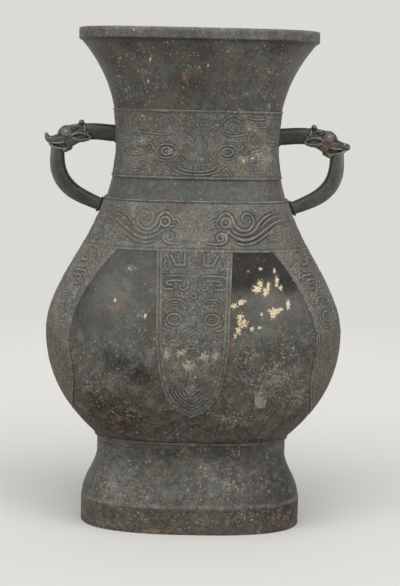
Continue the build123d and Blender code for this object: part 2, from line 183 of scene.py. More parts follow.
def gridNormals(grid, aroundClosed, upClosed=False):
    # outward direction at each grid point: the cross product of the two neighbour differences
    if aroundClosed:
        across = np.roll(grid, -1, axis=1) - np.roll(grid, 1, axis=1)
    else:
        across = np.gradient(grid, axis=1)
    up = np.roll(grid, -1, axis=0) - np.roll(grid, 1, axis=0) if upClosed else np.gradient(grid, axis=0)
    normal = np.cross(across, up)
    return normal / np.maximum(np.linalg.norm(normal, axis=2, keepdims=True), 1e-9)


lattice = 32
noiseTable = np.random.default_rng(7).random((lattice, lattice, lattice))


def valueNoise(points, size, octaves=3):
    # random values on a cubic lattice of the given size, blended smoothly, halved for each octave
    total, weight, octaveShift = np.zeros(points.shape[:-1]), 0.0, 11.3
    for octave in range(octaves):
        spot = points / (size * 0.5**octave) + octaveShift * octave
        cell = np.floor(spot).astype(int)
        part = spot - cell
        part = part * part * (3 - 2 * part)
        value = np.zeros(points.shape[:-1])
        for corner in range(8):
            bits = np.array([corner & 1, corner >> 1 & 1, corner >> 2])
            share = np.prod(np.where(bits == 1, part, 1 - part), axis=-1)
            i, j, k = np.moveaxis((cell + bits) % lattice, -1, 0)
            value += share * noiseTable[i, j, k]
        total += value * 0.5**octave
        weight += 0.5**octave
    return total / weight


def ringFaces(rows, columns, closedAlong):
    # quads between neighbouring rings; an open run gets a flat face over each end
    index = np.arange(rows * columns).reshape(rows, columns)
    here = index if closedAlong else index[:-1]
    beyond = np.roll(index, -1, axis=0) if closedAlong else index[1:]
    quads = np.stack([here, np.roll(here, -1, axis=1), np.roll(beyond, -1, axis=1), beyond], axis=-1)
    caps = [] if closedAlong else [index[0][::-1], index[-1]]
    return quads.reshape(-1, 4), caps


def shapeFromRings(rings, closedAlong=False):
    # one closed skin as points, face corners and the start of each face, turned to face outwards
    rows, columns = rings.shape[:2]
    points = rings.reshape(-1, 3)
    quads, caps = ringFaces(rows, columns, closedAlong)
    a, b, c, d = (points[quads[:, k]] for k in range(4))
    volume = np.sum(a * np.cross(b, c)) + np.sum(a * np.cross(c, d))
    for cap in caps:
        fan = points[cap]
        volume += np.sum(fan[0] * np.cross(fan[1:-1], fan[2:]))
    if volume < 0:
        quads, caps = quads[:, ::-1], [cap[::-1] for cap in caps]
    corners = np.concatenate([quads.ravel()] + caps)
    sizes = np.array([4] * len(quads) + [len(cap) for cap in caps])
    return points, corners, np.concatenate([[0], np.cumsum(sizes)[:-1]])


def setMarks(mesh, marks):
    # one value for each point under each mark's name, for the finish to read
    mesh.polygons.foreach_set("use_smooth", np.ones(len(mesh.polygons), dtype=bool))
    for label, values in marks.items():
        layer = mesh.attributes.new(label, "FLOAT", "POINT")
        layer.data.foreach_set("value", np.asarray(values, dtype=np.float32).ravel())


def meshFromShapes(name, shapes, marks=None):
    # a mesh of one or more skins, in metres, with its marks
    pointShift = np.cumsum([0] + [len(shape[0]) for shape in shapes])
    cornerShift = np.cumsum([0] + [len(shape[1]) for shape in shapes])
    points = np.concatenate([shape[0] for shape in shapes]) * mm
    corners = np.concatenate([shape[1] + pointShift[k] for k, shape in enumerate(shapes)])
    starts = np.concatenate([shape[2] + cornerShift[k] for k, shape in enumerate(shapes)])
    mesh = bpy.data.meshes.new(name)
    mesh.vertices.add(len(points))
    mesh.vertices.foreach_set("co", points.astype(np.float32).ravel())
    mesh.loops.add(len(corners))
    mesh.loops.foreach_set("vertex_index", corners.astype(np.int32))
    mesh.polygons.add(len(starts))
    mesh.polygons.foreach_set("loop_start", starts.astype(np.int32))
    mesh.update(calc_edges=True)
    mesh.validate()
    setMarks(mesh, marks or {})
    return mesh


def addPiece(mesh, finish, node=None):
    # a finished piece on the one body, in place of a casting where it is given one
    piece = bpy.data.objects.new(mesh.name, mesh)
    scene.collection.objects.link(piece)
    mesh.materials.append(finish)
    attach(piece, "root")
    if node:
        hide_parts(node)


# Finishes: marks are the pieces' own attributes. A patch is noise: the size of a blotch in millimetres,
# detail, roughness, then the noise values that become 0 and 1; grit is drawn coarser than the real
# mineral grains, so that it shows. A value is its start plus each source times its weight, a number or
# another value, stretched to 0 and 1 between its two last numbers where it has them. Shades are the
# ramp under the value shade. A layer is laid over it by its value, in one colour, or in two that run
# from the first to the second with the fine grain.

# Cast bronze long buried: a dull grey-olive mineral skin, mottled and grainy, the grooves darkened with
# earth and with painted shade, high edges rubbed paler with a painted highlight on a ledge, chalky, cream,
# green and rusty crusts in places
castBronzePatina = {
    "marks": ("tone", "groove", "wearAndHighlight", "crust", "chalk", "flake", "verdigris", "rust"),
    "patches": {
        "broad": (40.0, 4.0, 0.6, 0.3, 0.7),
        "blotch": (7.0, 5.0, 0.65, 0.3, 0.7),
        "grain": (2.0, 3.0, 0.6, 0.32, 0.68),
        "fine": (0.9, 2.0, 0.6, 0.3, 0.7),
        "earth": (15.0, 4.0, 0.62, 0.5, 0.72),
        "maroon": (24.0, 4.0, 0.6, 0.58, 0.74),
        "green": (9.0, 5.0, 0.7, 0.42, 0.62),
        "clusters": (17.0, 4.0, 0.65, 0.48, 0.7),
        "specks": (1.9, 1.0, 0.4, 0.64, 0.69),
        "rustGrain": (3.4, 4.0, 0.6, 0.46, 0.6),
    },
    "values": {
        "grainShare": (0.1, {"crust": 0.2}),
        "speckle": (-0.5, {"grain": 1.0, "fine": 1.0}),
        "shade": (0.1, {"broad": 0.2, "blotch": 0.2, "speckle": "grainShare", "tone": 1.0}),
        "crusty": (0.0, {"crust": 1.0}, 0.0, 0.4),
        "earthShare": (0.15, {"crusty": 0.35}),
        "earthStain": (0.0, {"earth": "earthShare"}),
        "maroonShare": (0.12, {"crusty": 0.28}),
        "maroonStain": (0.0, {"maroon": "maroonShare"}),
        "greenShare": (0.0, {"verdigris": 0.55}),
        "greenBloom": (0.0, {"green": "greenShare"}),
        "speckGroup": (0.1, {"clusters": 0.75, "chalk": 0.6}, 0.0, 1.0),
        "speckDots": (0.0, {"specks": "speckGroup"}),
        "crustCover": (0.0, {"crust": 1.0}, 0.0, 0.55),
        "speckCover": (0.2, {"crustCover": 1.0, "chalk": 1.0}, 0.0, 1.0),
        "paleSpecks": (0.0, {"speckDots": "speckCover"}),
        "chalkGrain": (-0.45, {"chalk": 0.75, "grain": 0.5, "blotch": 0.35}, 0.3, 0.8),
        "chalkCrust": (0.0, {"chalkGrain": "chalk"}),
        # dark in grooves and hollows: earth in them, and painted shade in the carved grooves, under the lip
        # and under the frieze's edge
        "grooveEarthAndShade": (0.0, {"groove": 0.85}),
        # paler where rubbed, and a painted highlight along the foot band's top ledge
        "wearAndHighlightShare": (0.06, {"blotch": 0.45}),
        "rubbedAndHighlit": (0.0, {"wearAndHighlight": "wearAndHighlightShare"}),
        "rustShare": (0.0, {"rust": 0.75}),
        "rustStain": (0.0, {"rustGrain": "rustShare"}),
        "flakeFoot": (0.0, {"flake": 1.0}, 0.05, 0.6),
        "flakeStain": (0.0, {"flakeFoot": 0.6}),
        "flakeCrust": (-0.775, {"flake": 1.0, "grain": 0.75, "blotch": 0.4, "fine": 0.4}, 0.52, 0.62),
        "dull": (0.0, {"tone": 1.0}, -0.18, -0.42),
        "rough": (0.34, {"blotch": 0.22, "crust": 0.3, "dull": 0.45}, 0.0, 1.0),
        "grit": (0.0, {"grain": 1.0, "fine": 0.6}),
        "gritDepth": (0.12, {"crust": 0.9}),
        "height": (0.0, {"grit": "gritDepth", "paleSpecks": 0.4, "flakeCrust": 0.6}),
    },
    "shades": [(0.08, "#23221e"), (0.26, "#403f39"), (0.42, "#595852"), (0.58, "#74736b"), (0.8, "#97958b")],
    "layers": [
        ("earthStain", "#5d5340"),
        ("maroonStain", "#5a4038"),
        ("greenBloom", "#50675b"),
        ("paleSpecks", "#aeaca0"),
        ("chalkCrust", "#a8a79c"),
        ("grooveEarthAndShade", "#211f1b"),
        ("rubbedAndHighlit", "#a09e94"),
        ("rustStain", "#8d6a4d"),
        ("flakeStain", "#5a4f38"),
        ("flakeCrust", "#9c8a68", "#e6d8b8"),
    ],
    "metallic": 0.12,
    "bump": 0.45,
}

# Cast bronze rubbed by hands: darker, closer and smoother, with a soft sheen and few specks
handledBronze = {
    "marks": ("tone", "groove", "wearAndHighlight", "rust"),
    "patches": {
        "broad": (15.0, 5.0, 0.6, 0.3, 0.7),
        "grain": (1.6, 3.0, 0.65, 0.3, 0.7),
        "specks": (1.3, 2.0, 0.5, 0.66, 0.74),
    },
    "values": {
        "shade": (0.09, {"broad": 0.3, "grain": 0.22, "tone": 1.0}),
        "paleSpecks": (0.0, {"specks": 0.5}),
        # dark in the head's hollows: earth in them, and painted shade
        "grooveEarthAndShade": (0.0, {"groove": 0.75}),
        # paler where rubbed, and painted highlights on the eyes and on the loops' outer sides
        "rubbedAndHighlit": (0.0, {"wearAndHighlight": 0.7}),
        "rustShare": (0.0, {"rust": 0.5}),
        "rustStain": (0.0, {"grain": "rustShare"}),
        "rough": (0.32, {"broad": 0.2}),
        "height": (0.0, {"grain": 1.0}),
    },
    "shades": [(0.1, "#222120"), (0.34, "#383735"), (0.56, "#4d4c49"), (0.85, "#73716b")],
    "layers": [
        ("paleSpecks", "#8d8b82"),
        ("grooveEarthAndShade", "#191815"),
        ("rubbedAndHighlit", "#96948d"),
        ("rustStain", "#6f523d"),
    ],
    "metallic": 0.35,
    "bump": 0.1,
}

# Old lead-tin solder, poured and left rough: dull, grainy, grey-brown with earth stuck to it
leadTinSolder = {
    "marks": ("tone",),
    "patches": {"blotch": (4.0, 4.0, 0.65, 0.3, 0.7), "grain": (0.9, 3.0, 0.7, 0.3, 0.7)},
    "values": {
        "shade": (0.1, {"blotch": 0.45, "grain": 0.35, "tone": 1.0}),
        "rough": (0.55, {"blotch": 0.25}),
        "height": (0.0, {"grain": 1.0}),
    },
    "shades": [(0.15, "#292722"), (0.4, "#44423b"), (0.65, "#5f5d55"), (0.9, "#8d8b82")],
    "layers": [],
    "metallic": 0.1,
    "bump": 0.3,
}

# A later pour of paler bronze: dull grey, rough cast skin
patchBronze = {
    "marks": (),
    "patches": {"blotch": (5.0, 4.0, 0.65, 0.3, 0.7), "grain": (1.1, 3.0, 0.7, 0.3, 0.7)},
    "values": {
        "shade": (0.0, {"blotch": 0.5, "grain": 0.5}),
        "rough": (0.5, {"blotch": 0.2}),
        "height": (0.0, {"grain": 1.0}),
    },
    "shades": [(0.25, "#474640"), (0.5, "#6f6e67"), (0.75, "#a3a199")],
    "layers": [],
    "metallic": 0.15,
    "bump": 0.3,
}


def linearColour(code):
    # sRGB hex to linear red, green, blue and a full alpha
    channels = [int(code[k:k + 2], 16) / 255 for k in (1, 3, 5)]
    linear = [c / 12.92 if c <= 0.04045 else ((c + 0.055) / 1.055) ** 2.4 for c in channels]
    return (*linear, 1.0)


def emptyTree(owner):
    # the cleared node tree of a material or a world
    owner.use_nodes = True
    owner.node_tree.nodes.clear()
    return owner.node_tree


def addNode(tree, kind, inputs=None, output=0, **settings):
    # a node with its settings, each input linked to a socket or set to a value; gives one output
    node = tree.nodes.new("ShaderNode" + kind)
    for label, value in settings.items():
        setattr(node, label, value)
    for key, value in (inputs or {}).items():
        if isinstance(value, bpy.types.NodeSocket):
            tree.links.new(value, node.inputs[key])
        else:
            node.inputs[key].default_value = value
    return node.outputs[output] if len(node.outputs) else None


def makeFinish(name, finish):
    # marks and patches, then the values in their order, the ramp, the layers and the surface
    material = bpy.data.materials.new(name)
    tree = emptyTree(material)
    coords = addNode(tree, "TexCoord", output="Object")
    made = {}
    for label in finish["marks"]:
        made[label] = addNode(tree, "Attribute", output="Fac", attribute_name=label)
    for label, (size, detail, roughness, low, high) in finish["patches"].items():
        pattern = {"Vector": coords, "Scale": 1 / (size * mm), "Detail": detail, "Roughness": roughness}
        noise = addNode(tree, "TexNoise", pattern)
        made[label] = addNode(tree, "MapRange", {"Value": noise, "From Min": low, "From Max": high})
    for label, (value, sources, *span) in finish["values"].items():
        for source, weight in sources.items():
            terms = {0: made[source], 1: made.get(weight, weight), 2: value}
            value = addNode(tree, "Math", terms, operation="MULTIPLY_ADD")
        if span:
            value = addNode(tree, "MapRange", {"Value": value, "From Min": span[0], "From Max": span[1]})
        made[label] = value
    colour = addNode(tree, "ValToRGB", {"Fac": made["shade"]})
    elements = colour.node.color_ramp.elements
    while len(elements) < len(finish["shades"]):
        elements.new(0.5)
    for element, (place, code) in zip(elements, finish["shades"]):
        element.position = place
        element.color = linearColour(code)
    for label, code, *second in finish["layers"]:
        paint = linearColour(code)
        if second:
            run = {0: made["fine"], 6: paint, 7: linearColour(second[0])}
            paint = addNode(tree, "Mix", run, 2, data_type="RGBA")
        colour = addNode(tree, "Mix", {0: made[label], 6: colour, 7: paint}, 2, data_type="RGBA")
    relief = {"Height": made["height"], "Strength": 1.0, "Distance": finish["bump"] * mm}
    skin = {"Base Color": colour, "Roughness": made["rough"], "Metallic": finish["metallic"],
            "Normal": addNode(tree, "Bump", relief)}
    addNode(tree, "OutputMaterial", {"Surface": addNode(tree, "BsdfPrincipled", skin)})
    return material


bronze = makeFinish("castBronzePatina", castBronzePatina)
gripBronze = makeFinish("handledBronze", handledBronze)
solder = makeFinish("leadTinSolder", leadTinSolder)
patchSkin = makeFinish("patchBronze", patchBronze)
print("finishes ready")

# Ornament drawing: strokes on the unrolled wall, u along it and v up it


def curvePath(points, samples=8):
    # Catmull-Rom curve through given points
    spots = np.array(points, dtype=float)
    padded = np.vstack([2 * spots[0] - spots[1], spots, 2 * spots[-1] - spots[-2]])
    share = np.linspace(0, 1, samples, endpoint=False)[:, None]
    p0, p1, p2, p3 = padded[:-3], padded[1:-2], padded[2:-1], padded[3:]
    spans = [0.5 * (2 * b + (c - a) * share + (2 * a - 5 * b + 4 * c - d) * share**2
                    + (3 * b - a - 3 * c + d) * share**3) for a, b, c, d in zip(p0, p1, p2, p3)]
    return np.vstack(spans + [spots[-1:]])


def spiralPath(centre, outer, inner, startTurn, turns):
    # the radius falls evenly from outer to inner while the angle sweeps the given turns
    share = np.linspace(0, 1, int(abs(turns) * 22) + 3)
    angle = 2 * np.pi * (startTurn + turns * share)
    radius = outer + (inner - outer) * share
    return np.stack([centre[0] + radius * np.cos(angle), centre[1] + radius * np.sin(angle)], axis=1)


def ovalPath(centre, halfWidth, halfHeight):
    # an ellipse in 32 steps
    angle = np.linspace(0, 2 * np.pi, 33)
    return np.stack([centre[0] + halfWidth * np.cos(angle), centre[1] + halfHeight * np.sin(angle)], axis=1)


def strokeField(u, v, paths, limit=9.0):
    # distance from each grid point to the nearest of the paths, over the line's width there (a point's
    # third number, 1 where it has none), capped at limit
    field = np.full(u.shape, limit)
    for path in paths:
        path = np.asarray(path, dtype=float)
        widths = path[:, 2] if path.shape[1] == 3 else np.ones(len(path))
        path = path[:, :2]
        low, high = path.min(axis=0) - limit, path.max(axis=0) + limit
        near = (u > low[0]) & (u < high[0]) & (v > low[1]) & (v < high[1])
        if not near.any():
            continue
        spot = np.stack([u[near], v[near]], axis=1)[:, None, :]
        start, run = path[None, :-1], np.diff(path, axis=0)[None]
        share = np.sum((spot - start) * run, axis=2) / np.maximum(np.sum(run * run, axis=2), 1e-9)
        share = np.clip(share, 0, 1)
        gap = spot - start - share[..., None] * run
        width = widths[None, :-1] * (1 - share) + widths[None, 1:] * share
        field[near] = np.minimum(field[near], (np.sqrt(np.sum(gap * gap, axis=2)) / width).min(axis=1))
    return field


def leiwenWave(u, v, cell=6.2, rounds=3.3):
    # thunder pattern, a squared spiral in every cell of a brick lattice: the cosine of the square
    # radius, in rounds, less the angle as a share of a turn
    row = np.floor(v / cell)
    place = u / cell + 0.5 * (row % 2)
    a, b = place % 1 - 0.5, v / cell % 1 - 0.5
    side = 1 - 2 * (np.floor(place) % 2)
    radius = np.maximum(np.abs(a), np.abs(b))
    return np.cos(2 * np.pi * (rounds * radius - np.arctan2(b, a * side) / (2 * np.pi)))


def carvedLines(u, v, strokes, design):
    # a raised line along each stroke between two grooves, then a fainter ground of leiwen: the cosine
    # of the distance over the pitch, handing over to the leiwen's own wave past the grooves
    pitch, ground = design["pitch"], design["leiwen"]
    distance = strokeField(u, v, strokes)
    wave = np.cos(2 * np.pi * np.minimum(distance / pitch, 1.0))
    near = 1 - smoothStep(0.62 * pitch, 0.85 * pitch, distance)
    fill = leiwenWave(u, v) * smoothStep(0.8 * pitch, 1.1 * pitch, distance)
    raised = np.maximum(smoothStep(-0.35, 0.6, wave) * near, ground * smoothStep(-0.1, 0.9, fill))
    groove = np.maximum(smoothStep(-0.2, 0.6, -wave) * near, ground * smoothStep(0.0, 0.8, -fill))
    return raised, groove


def frayed(grid, size, low, high):
    # wear that comes and goes over the surface: noise between two shares
    return low + (high - low) * smoothStep(0.3, 0.7, valueNoise(grid, size, 3))


def blobField(along, levels, spots):
    # soft oval blots: each is (arc length, level, half width, half height), 1 in the middle, 0 at the rim
    field = np.zeros(along.shape)
    for u, level, halfWidth, halfHeight in spots:
        gap = np.hypot((along - u) / halfWidth, (levels[:, None] - level) / halfHeight)
        field = np.maximum(field, 1 - smoothStep(0.0, 1.0, gap))
    return field


def addTints(marks, along, levels, tints, face=1.0):
    # adds each tint's strength times its blots to its mark, on the given face
    for label, strength, spots in tints:
        marks[label] = marks.get(label, 0.0) + strength * blobField(along, levels, spots) * face


def paddedMarks(marks, back, axis):
    # the same marks with zeros for the hidden rows or columns behind
    hidden = np.zeros(back.shape[:2])
    return {label: np.concatenate([values, hidden], axis=axis) for label, values in marks.items()}


# The mask frieze on the neck's collar: v runs up from the collar's lower edge. A border is its place
# and how rubbed it is; crisp, faded and tints are blots

frieze = {
    "low": 283.4,
    "height": 54.0,
    "top": 0.8,
    "sunk": 1.6,
    "ground": 0.42,
    "grooveDepth": 0.36,
    "pitch": 2.0,
    "leiwen": 0.5,
    "borders": ((0.9, 0.3), (53.1, 1.0)),
    "crisp": [(-24, 305, 14, 12), (27, 325, 16, 14), (0, 288, 44, 10), (26, 305, 10, 8), (60, 320, 20, 16)],
    "faded": [(-62, 316, 40, 44), (0, 318, 26, 30)],
    "columns": 820,
    "rows": 112,
    "tone": -0.02,
    "tints": [
        ("tone", 0.13, [(64, 310, 40, 50), (-56, 305, 24, 40)]),
        ("chalk", 0.85, [(54, 303, 30, 20), (-44, 313, 14, 10), (36, 298, 9, 9), (-22, 305, 12, 9),
                         (44, 324, 12, 10), (150, 310, 50, 26)]),
        ("flake", 0.6, [(36, 297, 5, 5), (52, 306, 4, 3), (44, 301, 4, 3), (-44, 332, 3, 2)]),
        ("rust", 0.7, [(-46, 331, 16, 5), (-14, 330, 8, 12), (40, 322, 10, 12), (36, 297, 6, 6)]),
        ("verdigris", 0.6, [(4, 287, 26, 6), (-66, 300, 20, 20)]),
    ],
}


def friezeStrokes():
    # half of a mask, folded about the front and back middles: eye, crest and nose, horn, mouth and
    # fang, then curls towards the handle
    eye = (23.8, 21.6)
    return [
        ovalPath(eye, 7.8, 5.5),
        ovalPath(eye, 4.0, 2.9),
        [eye, (eye[0] + 0.4, eye[1])],
        curvePath([(0.0, 45.4), (3.6, 48.4), (8.0, 46.8), (10.0, 42.0), (8.4, 37.0), (4.2, 34.6)]),
        curvePath([(2.6, 42.6), (5.4, 41.4), (5.0, 38.4)]),
        curvePath([(4.2, 34.6), (2.4, 32.0), (4.6, 28.8), (6.6, 25.6), (4.2, 22.6)]),
        curvePath([(34.0, 47.4), (29.4, 49.8), (23.4, 48.6), (19.2, 44.0), (19.0, 38.6), (22.6, 34.8),
                   (29.0, 34.2), (36.0, 35.4), (42.0, 36.0)]),
        curvePath([(31.6, 43.4, 0.4), (27.6, 44.8, 0.7), (24.6, 42.0, 0.7), (26.4, 38.8, 0.7),
                   (30.4, 39.0, 0.4)]),
        curvePath([(40.0, 48.6), (46.0, 47.2), (55.0, 48.0)]),
        curvePath([(42.0, 42.4), (48.0, 41.0), (56.0, 42.0)]),
        curvePath([(34.6, 5.6), (33.4, 9.6), (28.6, 14.2), (23.6, 12.6), (18.6, 8.2), (11.0, 4.6),
                   (0.0, 3.4)]),
        curvePath([(17.0, 11.6), (12.0, 8.0), (6.0, 6.4), (0.0, 5.9)]),
        [(20.4, 6.6), (23.2, 9.2), (27.4, 3.4)],
        curvePath([(12.6, 14.2), (9.4, 17.2), (12.4, 20.4)]),
        spiralPath((46.0, 30.4), 6.4, 1.6, 0.3, 1.5),
        spiralPath((38.4, 24.4), 4.2, 1.4, 0.75, -1.2),
        ovalPath((50.5, 20.6), 8.0, 2.6),
        spiralPath((42.4, 10.4), 4.4, 1.4, 0.1, 1.3),
        curvePath([(46.0, 6.4), (52.0, 5.6), (58.0, 8.8), (62.0, 13.6)]),
        spiralPath((64.5, 39.5), 7.0, 1.6, 0.5, 1.5),
        spiralPath((66.0, 17.0), 6.4, 1.6, 0.4, -1.5),
        curvePath([(58.0, 28.6), (66.0, 27.4), (74.0, 29.4), (82.0, 27.4)]),
        spiralPath((80.5, 42.0), 6.0, 1.6, 0.0, 1.4),
        spiralPath((81.0, 13.0), 6.4, 1.6, 0.0, -1.4),
    ]


def ringBand(name, plan, band, strokes):
    # a band right round the vessel: the wall's own curve, raised by its relief, closed behind
    # by a few rows sunk into the wall
    levels = band["low"] + np.linspace(0, 1, band["rows"]) * band["height"]
    plans = plan(levels)
    along = ringLengths(plans, band["columns"])
    grid = ovalGrid(plans, levels, along)
    fold = np.minimum(np.abs(along), -along[:, :1] - np.abs(along))
    v = np.broadcast_to((levels - band["low"])[:, None], fold.shape)
    raised, groove = carvedLines(fold, v, strokes, band)
    pale = raised
    for border, rubbedAndHighlit in band["borders"]:
        gap = np.abs(v - border)
        line = 1 - smoothStep(0.45, 0.95, gap)
        beside = 1 - smoothStep(0.35, 0.8, np.abs(gap - 1.5))
        away = smoothStep(1.2, 2.4, gap)
        raised = np.maximum(raised * away, line)
        groove = np.maximum(groove * away, 0.8 * beside * (1 - line))
        pale = np.maximum(pale * away, rubbedAndHighlit * line)
    crisp = np.minimum(1.7 * blobField(along, levels, band["crisp"]), 1.0)
    faded = frayed(grid, 24.0, 0.2, 0.8) * (1 - 0.6 * blobField(along, levels, band["faded"]))
    wear = np.maximum(faded, crisp)
    depth = 0.7 + 0.3 * wear
    height = -band["ground"] * (1 - raised * depth) - band["grooveDepth"] * groove * depth
    height += 0.12 * np.minimum(valueNoise(grid, 3.2, 3) - 0.5, 0)
    height = band["top"] + np.minimum(height, 0.0)
    face = grid + gridNormals(grid, True) * height[..., None]
    backLevels = band["low"] + np.linspace(1, 0, 9) * band["height"]
    backPlans = insetPlan(plan, backLevels, band["sunk"])
    back = ovalGrid(backPlans, backLevels, ringLengths(backPlans, band["columns"]))
    marks = {
        "groove": groove * (0.2 + 0.8 * wear),
        "wearAndHighlight": pale * wear,
        "crust": np.full(wear.shape, 0.55),
        "tone": np.full(wear.shape, band["tone"]),
    }
    addTints(marks, along, levels, band["tints"])
    rings = np.concatenate([face, back])
    return meshFromShapes(name, [shapeFromRings(rings, True)], paddedMarks(marks, back, 0))


friezeMesh = ringBand("neckFrieze", neckPlan, frieze, friezeStrokes())
print("frieze", len(friezeMesh.polygons))

# The shoulder band: pairs of facing dragons, v runs up from the band's lower edge

shoulderBand = {
    "low": 228.0,
    "height": 37.2,
    "top": 0.0,
    "sunk": 1.9,
    "ground": 0.4,
    "grooveDepth": 0.35,
    "pitch": 3.0,
    "leiwen": 0.0,
    "borders": ((0.9, 0.6),),
    "crisp": [(42, 250, 42, 28), (20, 238, 22, 16), (-24, 250, 12, 10)],
    "faded": [(-56, 246, 70, 44)],
    "columns": 980,
    "rows": 92,
    "tone": 0.03,
    "tints": [
        ("tone", 0.03, [(-50, 245, 40, 30)]),
        ("chalk", 0.3, [(4, 252, 14, 20), (66, 240, 14, 12), (-60, 250, 30, 18), (170, 248, 60, 26)]),
        ("rust", 0.4, [(-42, 256, 9, 8)]),
        ("verdigris", 0.5, [(34, 262, 20, 8)]),
    ],
}


def dragonStrokes():
    # a third number sets how broad the line is there, so crests and tails swell and run out to points
    return [
        ovalPath((23.6, 22.6), 3.6, 3.5),
        [(23.6, 22.6), (24.0, 22.6)],
        curvePath([(15.6, 21.6, 0.4), (19.8, 28.0, 0.9), (24.2, 29.9, 1.0), (28.5, 26.4, 1.1),
                   (31.0, 20.8, 1.2), (36.0, 16.9, 1.2), (42.2, 17.5, 1.1), (46.2, 23.0, 1.0),
                   (44.0, 28.4, 0.9), (39.2, 29.9, 0.9), (36.4, 26.6, 0.8), (38.4, 23.6, 0.7),
                   (41.0, 24.6, 0.5)]),
        curvePath([(27.4, 20.6, 0.5), (30.0, 16.4, 0.8), (35.4, 13.6, 0.9), (42.6, 14.2, 1.0),
                   (48.2, 18.4, 1.1), (51.0, 22.6, 1.0), (56.4, 27.2, 0.9), (65.0, 30.4, 0.7),
                   (78.0, 32.0, 0.35)]),
        curvePath([(52.4, 18.6, 0.4), (57.2, 23.6, 0.9), (64.4, 26.8, 0.8), (78.0, 28.4, 0.35)]),
        curvePath([(25.0, 16.6, 0.5), (29.8, 12.6, 0.9), (38.4, 9.7, 1.2), (47.1, 11.7, 1.2),
                   (56.0, 17.4, 1.1), (66.0, 23.0, 0.9), (76.0, 24.4, 0.8), (88.0, 27.6, 0.35)]),
        curvePath([(27.6, 9.0, 0.4), (37.6, 6.2, 0.9), (47.6, 8.0, 1.0), (57.6, 14.0, 0.9),
                   (68.0, 19.6, 0.8), (78.0, 20.6, 0.7), (90.0, 23.2, 0.35)]),
        curvePath([(10.6, 20.6, 0.4), (14.6, 24.2, 0.9), (18.0, 24.6, 0.6)]),
        curvePath([(12.2, 17.6, 0.4), (16.6, 19.4, 0.8), (20.0, 18.4, 0.6)]),
        spiralPath((20.0, 11.0), 4.0, 1.3, 0.95, 1.3),
        curvePath([(5.2, 7.6, 0.35), (14.0, 6.2, 0.8), (21.0, 6.6, 1.0), (24.8, 9.6, 1.0), (24.4, 13.4, 0.9),
                   (26.6, 16.4, 0.6)]),
        curvePath([(57.0, 10.0, 0.4), (62.6, 15.4, 0.9), (66.0, 13.4, 0.8), (71.4, 16.2, 0.4)]),
        curvePath([(59.4, 8.6, 0.4), (65.0, 9.8, 0.8), (70.0, 7.4, 0.4)]),
        spiralPath((84.0, 10.4), 5.4, 1.6, 0.55, -1.4),
        spiralPath((104.0, 19.0), 7.0, 1.8, 0.5, 1.5),
        curvePath([(92.0, 8.0, 0.4), (100.0, 6.2, 0.9), (109.0, 8.8, 1.0), (116.0, 14.6, 0.5)]),
    ]


shoulderMesh = ringBand("shoulderBand", bellyPlan, shoulderBand, dragonStrokes())
print("shoulder band", len(shoulderMesh.polygons))

# Hanging blades on the belly: u is measured from each blade's own middle line. A mark is its start
# and what the crusted lower half adds to it

bladeTop = shoulderBand["low"] + 0.6
crustLevels = (176.0, 148.0)
maskLow = 148.0
bladeCarving = {"borderLines": (0.8, 3.4), "ground": 0.4, "grooveDepth": 0.3, "pitch": 2.4, "sunk": 1.8}
blade = {
    **bladeCarving,
    "halfWidth": 29.6,
    "straightEnd": (28.3, 160.0),
    "swell": (25.0, 125.0),
    "tuck": (24.0, 108.0),
    "tip": 97.5,
    "chevrons": (0.84, 0.75, 0.66, 0.57, 0.48, 0.39, 0.3, 0.21),
    "chevronHeart": 142.0,
    "chevronTop": 134.0,
    "chevronStep": 7.0,
    "chevronFade": 16.0,
    "columns": 136,
    "rows": 300,
    "leiwen": 0.36,
    "fold": 0.0,
    "wear": (0.45, 1.0),
    "faded": [(0, 168, 34, 24), (0, 110, 30, 16)],
    "crusted": [(-6, 147, 26, 11), (9, 144, 22, 12), (16, 122, 10, 18), (-20, 130, 8, 14)],
    "marks": {"tone": (-0.02, 0.0), "crust": (0.45, 0.5)},
    "tints": [
        ("chalk", 0.95, [(-8, 152, 11, 9), (9, 149, 9, 8), (-3, 141, 14, 9), (0, 122, 10, 12),
                         (18, 150, 6, 14), (-20, 150, 7, 12)]),
        ("rust", 1.0, [(-15, 142, 8, 4), (2, 139, 6, 5), (8, 134, 8, 4), (19, 116, 6, 7), (-8, 137, 6, 4)]),
        ("flake", 0.62, [(-10, 150, 6, 6), (-4, 144, 5, 4), (2, 133, 4, 4), (10, 137, 5, 3)]),
    ],
}
sideBlade = {
    **bladeCarving,
    "halfBreadth": 59.5,
    "straightEnd": 141.0,
    "tip": 90.0,
    "columns": 244,
    "rows": 260,
    "leiwen": 0.55,
    "fold": 33.0,
    "wear": (0.6, 1.0),
    "faded": [(0, 150, 60, 40)],
    "crusted": [(0, 128, 60, 20)],
    "marks": {"tone": (0.05, -0.12), "crust": (0.65, 0.3), "rust": (0.0, 0.35)},
    "tints": [("chalk", 0.5, [(-56, 195, 24, 60), (56, 195, 24, 60), (0, 150, 60, 30)])],
}


def frontBladeWidth(level):
    # straight sides, then a cubic Bezier from the sides to the tip, read off at each level
    share = np.linspace(1, 0, 200)
    corners = np.array([blade["straightEnd"], blade["swell"], blade["tuck"], (0.0, blade["tip"])])
    rest = 1 - share
    weights = np.stack([rest**3, 3 * share * rest**2, 3 * share**2 * rest, share**3])
    width, height = (weights.T @ corners).T
    width = np.append(width, blade["halfWidth"])
    height = np.append(height, bladeTop)
    return np.maximum(np.interp(level, height, width), 0.9)


def sideBladeWidth(level):
    # the girth from the side's middle to where the wall is halfBreadth from the middle plane, closed
    # below by half an ellipse
    drop = np.clip((sideBlade["straightEnd"] - level) / (sideBlade["straightEnd"] - sideBlade["tip"]), 0, 1)
    breadth = sideBlade["halfBreadth"] * np.sqrt(np.maximum(1 - drop**2, 0.0004))
    y, length = ovalOutline(bellyPlan(level))[1:]
    side, reach = len(denseTurns) // 4 * 3, 600  # 600 of the 720 steps from the side to the front
    toFront = slice(side, side - reach, -1)
    girth = length[:, side, None] - length[:, toFront]
    return np.array([np.interp(breadth[k], -y[k, toFront], girth[k]) for k in range(len(level))])


